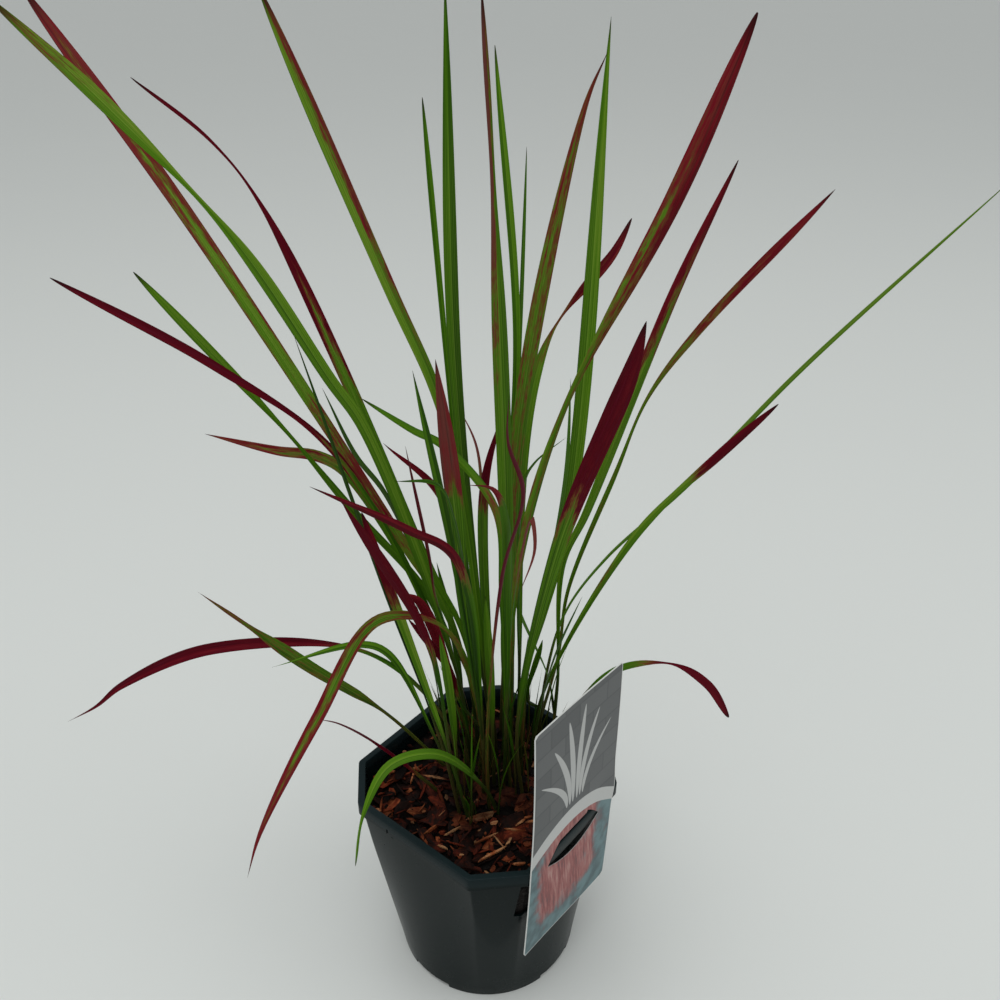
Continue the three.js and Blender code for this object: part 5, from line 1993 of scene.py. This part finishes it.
@dataclass
class HangCard:
    """Plastic card on the rim: a bowed plate with a lens-shaped opening and a tongue over the rim."""

    pot: PotShape = PotShape()
    width: float = 83.5 * MM
    levels: Span = (70 * MM, 246 * MM)
    thickness: float = 0.6 * MM
    along: float = -3.5 * MM
    turn: float = -2.2
    bow: float = 2.6 * MM
    gap: float = 0.7 * MM
    corner: float = 1.2 * MM
    half_opening: float = 26.5 * MM
    opening_level: float = 137 * MM
    opening_top: float = 155.5 * MM
    opening_bottom: float = 129 * MM
    opening_along: float = -3.2 * MM
    tongue_width: float = 27 * MM
    tongue_end: float = 131 * MM
    tongue_gap: float = 0.7 * MM
    bulge: float = 1.3 * MM
    bulge_level: float = 152 * MM
    bulge_spread: float = 13 * MM
    wave: float = 0.35 * MM
    crease: float = 40
    columns: int = 44
    rows: int = 84

    @property
    def side(self) -> float:
        """Direction that the card faces, in degrees."""
        return self.pot.turn + 45

    @property
    def reach(self) -> float:
        """Distance of the card's middle plane from the pot's axis."""
        return self.pot.rim_long + self.gap

    @property
    def pivot(self) -> float:
        """Level of the point that the card is turned about."""
        return self.opening_level + 10 * MM

    def to_world(self, reach: Array, along: Array, level: Array) -> Array:
        """Places from their distance outwards, distance along the rim and level."""
        out, beside = heading(self.side), heading(self.side + 90)
        return reach[..., None] * out + along[..., None] * beside + level[..., None] * [0, 0, 1.0]

    @staticmethod
    def tilted(along: Array, rise: Array, degrees: float) -> tuple[Array, Array]:
        """Turns places in the card's plane about the pivot."""
        cosine, sine = math.cos(math.radians(degrees)), math.sin(math.radians(degrees))
        return along * cosine - rise * sine, along * sine + rise * cosine

    def plate(self) -> Piece:
        """The plate: front and back sheets on one grid, joined round the edge.

        Its ends curl in towards the pot as the square of the distance from the pivot, its right edge
        bulges a little beside the rim, and its corners are rounded by drawing the grid in.

        Returns:
            The plate.
        """
        u, v = np.meshgrid(np.linspace(-1, 1, self.columns), np.linspace(0, 1, self.rows))
        level = self.levels[0] + (self.levels[1] - self.levels[0]) * v
        near_end = np.minimum(level - self.levels[0], self.levels[1] - level)
        cut = np.clip(self.corner - near_end, 0, self.corner)
        inset = self.corner - np.sqrt(np.maximum(self.corner**2 - cut**2, 0))
        along = self.along + u * (self.width / 2 - inset)
        curl = self.bow * ((level - self.pivot) / (self.levels[1] - self.pivot)) ** 2
        beside_bulge = (level - self.bulge_level) / self.bulge_spread
        bulge = self.bulge * smooth(0.55, 1.0, u) * np.exp(-(beside_bulge**2))
        wave = self.wave * np.sin(u * 2.1 + v * 5.0)
        reach = self.reach - np.maximum(curl - 0.12 * MM, 0) + bulge + wave
        along, rise = self.tilted(along, level - self.pivot, self.turn)
        front = self.to_world(reach + self.thickness / 2, along, rise + self.pivot)
        back = self.to_world(reach - self.thickness / 2, along, rise + self.pivot)
        points = np.vstack([front.reshape(-1, 3), back.reshape(-1, 3)])
        row, column = np.meshgrid(np.arange(self.rows - 1), np.arange(self.columns - 1), indexing="ij")
        a = (row * self.columns + column).ravel()
        quads = np.stack([a, a + 1, a + 1 + self.columns, a + self.columns], axis=1)
        count = self.rows * self.columns
        edge = self.edge_loop()
        after = np.roll(edge, -1)
        walls = np.stack([edge, edge + count, after + count, after], axis=1)
        return make_piece("card_plate", points, [quads, quads[:, ::-1] + count, walls])

    def edge_loop(self) -> Array:
        """Indices of the grid's outer points, anticlockwise on the front.

        Returns:
            The indices in order.
        """
        columns, rows = self.columns, self.rows
        foot = np.arange(columns - 1)
        right = np.arange(rows - 1) * columns + columns - 1
        head = rows * columns - 1 - np.arange(columns - 1)
        left = (rows - 1 - np.arange(rows - 1)) * columns
        return np.concatenate([foot, right, head, left])

    def opening(self) -> Piece:
        """The space of the lens between two arcs, each a parabola through the lens's ends.

        Returns:
            The tool.
        """
        run = np.linspace(-1, 1, 33)
        lower = self.opening_level - (self.opening_level - self.opening_bottom) * (1 - run**2)
        upper = self.opening_level + (self.opening_top - self.opening_level) * (1 - run**2)
        along = self.opening_along + self.half_opening * np.concatenate([run, run[-2:0:-1]])
        level = np.concatenate([lower, upper[-2:0:-1]])
        ends = (self.reach - 4 * MM, self.reach + 4 * MM)
        rings = [self.to_world(np.full_like(along, reach), along, level) for reach in ends]
        return make_piece("card_opening", *loft_flat(np.stack(rings)))

    def tongue(self) -> Piece:
        """The tongue: a strip that leaves the plate above the opening and bends over the rim into the pot.

        Returns:
            The tongue.
        """
        inside = self.pot.rim_long - self.pot.skirt_stand - self.pot.wall - self.tongue_gap
        over = self.pot.height + self.tongue_gap
        line = np.array(
            [
                [self.reach, self.opening_top + 3 * MM],
                [self.reach, over + 5.5 * MM],
                [self.reach - 1.2 * MM, over + 2 * MM],
                [self.reach - 3.4 * MM, over + 0.6 * MM],
                [inside + 1.2 * MM, over + 0.3 * MM],
                [inside + 0.1 * MM, over - 0.3 * MM],
                [inside - 0.3 * MM, over - 2 * MM],
                [inside - 0.5 * MM, self.tongue_end],
            ]
        )
        spine = Spine(np.column_stack([line, np.zeros(len(line))]))
        places, length = spine.dense()
        along = np.linspace(0, length[-1], 40)
        middle = read_along(along, length, places[:, :2])
        slope = np.gradient(middle, axis=0)
        slope /= np.linalg.norm(slope, axis=1, keepdims=True)
        normal = np.stack([-slope[:, 1], slope[:, 0]], axis=1) * self.thickness / 2
        half = self.tongue_width / 2
        edges = ((1, half), (1, -half), (-1, -half), (-1, half))
        strips = [self.strip_edge(middle + normal * side, along) for side, along in edges]
        return make_piece("card_tongue", *loft(np.stack(strips, axis=1)))

    def strip_edge(self, line: Array, half: float) -> Array:
        """Places along one long edge of the tongue, so far along the rim from its middle line."""
        return self.to_world(line[:, 0], np.full(len(line), self.opening_along + half), line[:, 1])

    def store(self, piece: Piece) -> None:
        """Stores the print's places, which side shows it, and the distance to the card's edge.

        Args:
            piece: the card.
        """
        mesh = piece.data
        points = read_vectors(mesh.vertices, "co")
        out, beside = heading(self.side), heading(self.side + 90)
        flat_along, flat_level = self.tilted(points @ beside, points[:, 2] - self.pivot, -self.turn)
        flat_along = flat_along - self.along
        edge = self.width / 2 - np.abs(flat_along)
        ends = np.minimum(flat_level + self.pivot - self.levels[0], self.levels[1] - self.pivot - flat_level)
        facing = read_vectors(mesh.vertex_normals, "vector") @ out
        store_values(
            mesh,
            {
                "card_place": np.stack([flat_along, flat_level, points @ out], axis=1),
                "card_front": smooth(-0.2, 0.1, facing),
                "card_margin": np.minimum(edge, ends),
            },
        )

    def build(self) -> None:
        """Builds and dresses the card."""
        piece = self.plate()
        piece.name = "hang_card_print"
        carve(piece, [self.opening()])
        carve(piece, [self.tongue()], Cut.JOIN)
        sharpen(piece, self.crease)
        self.store(piece)
        settle(piece, PrintedCard().material(), Slot.CARD, "hang_card")


# ---- Stage


@dataclass
class Stage:
    """Pale floor, soft light and the camera."""

    camera_place: Triple = (0.0087, -0.4564, 0.6234)
    pitch: float = 31.2
    lens: float = 36.0
    sensor: float = 36.0
    aim: Triple = (0, 0, 0.2)
    floor_half: float = 30.0
    sky: Triple = (0.86, 0.88, 0.88)
    sky_strength: float = 0.65

    def floor(self) -> None:
        """A large level floor at the pot's base."""
        half = self.floor_half
        corners = np.array([[-half, -half, 0], [half, -half, 0], [half, half, 0], [-half, half, 0]])
        piece = make_piece("floor", corners, [np.arange(4)[None]])
        piece.data.materials.append(PaleFloor().material())

    def light(self, name: str, place: Triple, size: float, power: float) -> None:
        """A square soft light that faces the plant.

        Args:
            name: its name.
            place: where it hangs.
            size: length of its side.
            power: watts.
        """
        data = bpy.data.lights.new(name, "AREA")
        data.shape = "SQUARE"
        data.size = size
        data.energy = power
        lamp = bpy.data.objects.new(name, data)
        lamp.location = place
        lamp.rotation_euler = (Vector(self.aim) - Vector(place)).to_track_quat("-Z", "Y").to_euler()
        bpy.context.scene.collection.objects.link(lamp)

    def surroundings(self) -> None:
        """An even pale sky, shown without a film curve."""
        world = bpy.data.worlds.new("sky")
        world.use_nodes = True
        background = world.node_tree.nodes["Background"]
        background.inputs["Color"].default_value = (*self.sky, 1)
        background.inputs["Strength"].default_value = self.sky_strength
        bpy.context.scene.world = world
        bpy.context.scene.view_settings.view_transform = "Standard"

    def camera(self) -> None:
        """The camera, looking level along +Y but for its pitch down."""
        data = bpy.data.cameras.new("camera")
        data.sensor_width = self.sensor
        data.lens = self.lens
        data.clip_start = 0.01
        data.clip_end = 200
        camera = bpy.data.objects.new("camera", data)
        camera.location = self.camera_place
        camera.rotation_euler = (math.radians(90 - self.pitch), 0, 0)
        bpy.context.scene.collection.objects.link(camera)
        bpy.context.scene.camera = camera

    def build(self) -> None:
        """Sets the stage."""
        self.camera()
        self.surroundings()
        self.floor()
        self.light("softbox_above", (-0.5, -0.4, 2.3), size=2.0, power=22)
        self.light("softbox_right", (1.9, -0.2, 1.6), size=1.4, power=8)


def dress_potting_mix() -> None:
    """Gives the potting mix its finish. Its solid is shown as it is."""
    node = frame["nodes"]["potting_mix"]
    node.data.materials.clear()
    node.data.materials.append(MoistMix().material())
    LOG.info("potting_mix: the solid itself, dressed")


def main() -> None:
    """Builds every piece in order and reports it."""
    logging.basicConfig(level=logging.INFO, format="%(name)s %(message)s")
    Stage().build()
    Pot().build()
    dress_potting_mix()
    BarkMulch().build()
    HangCard().build()
    GrassClump().build()
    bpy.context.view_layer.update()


if __name__ == "__main__":
    main()
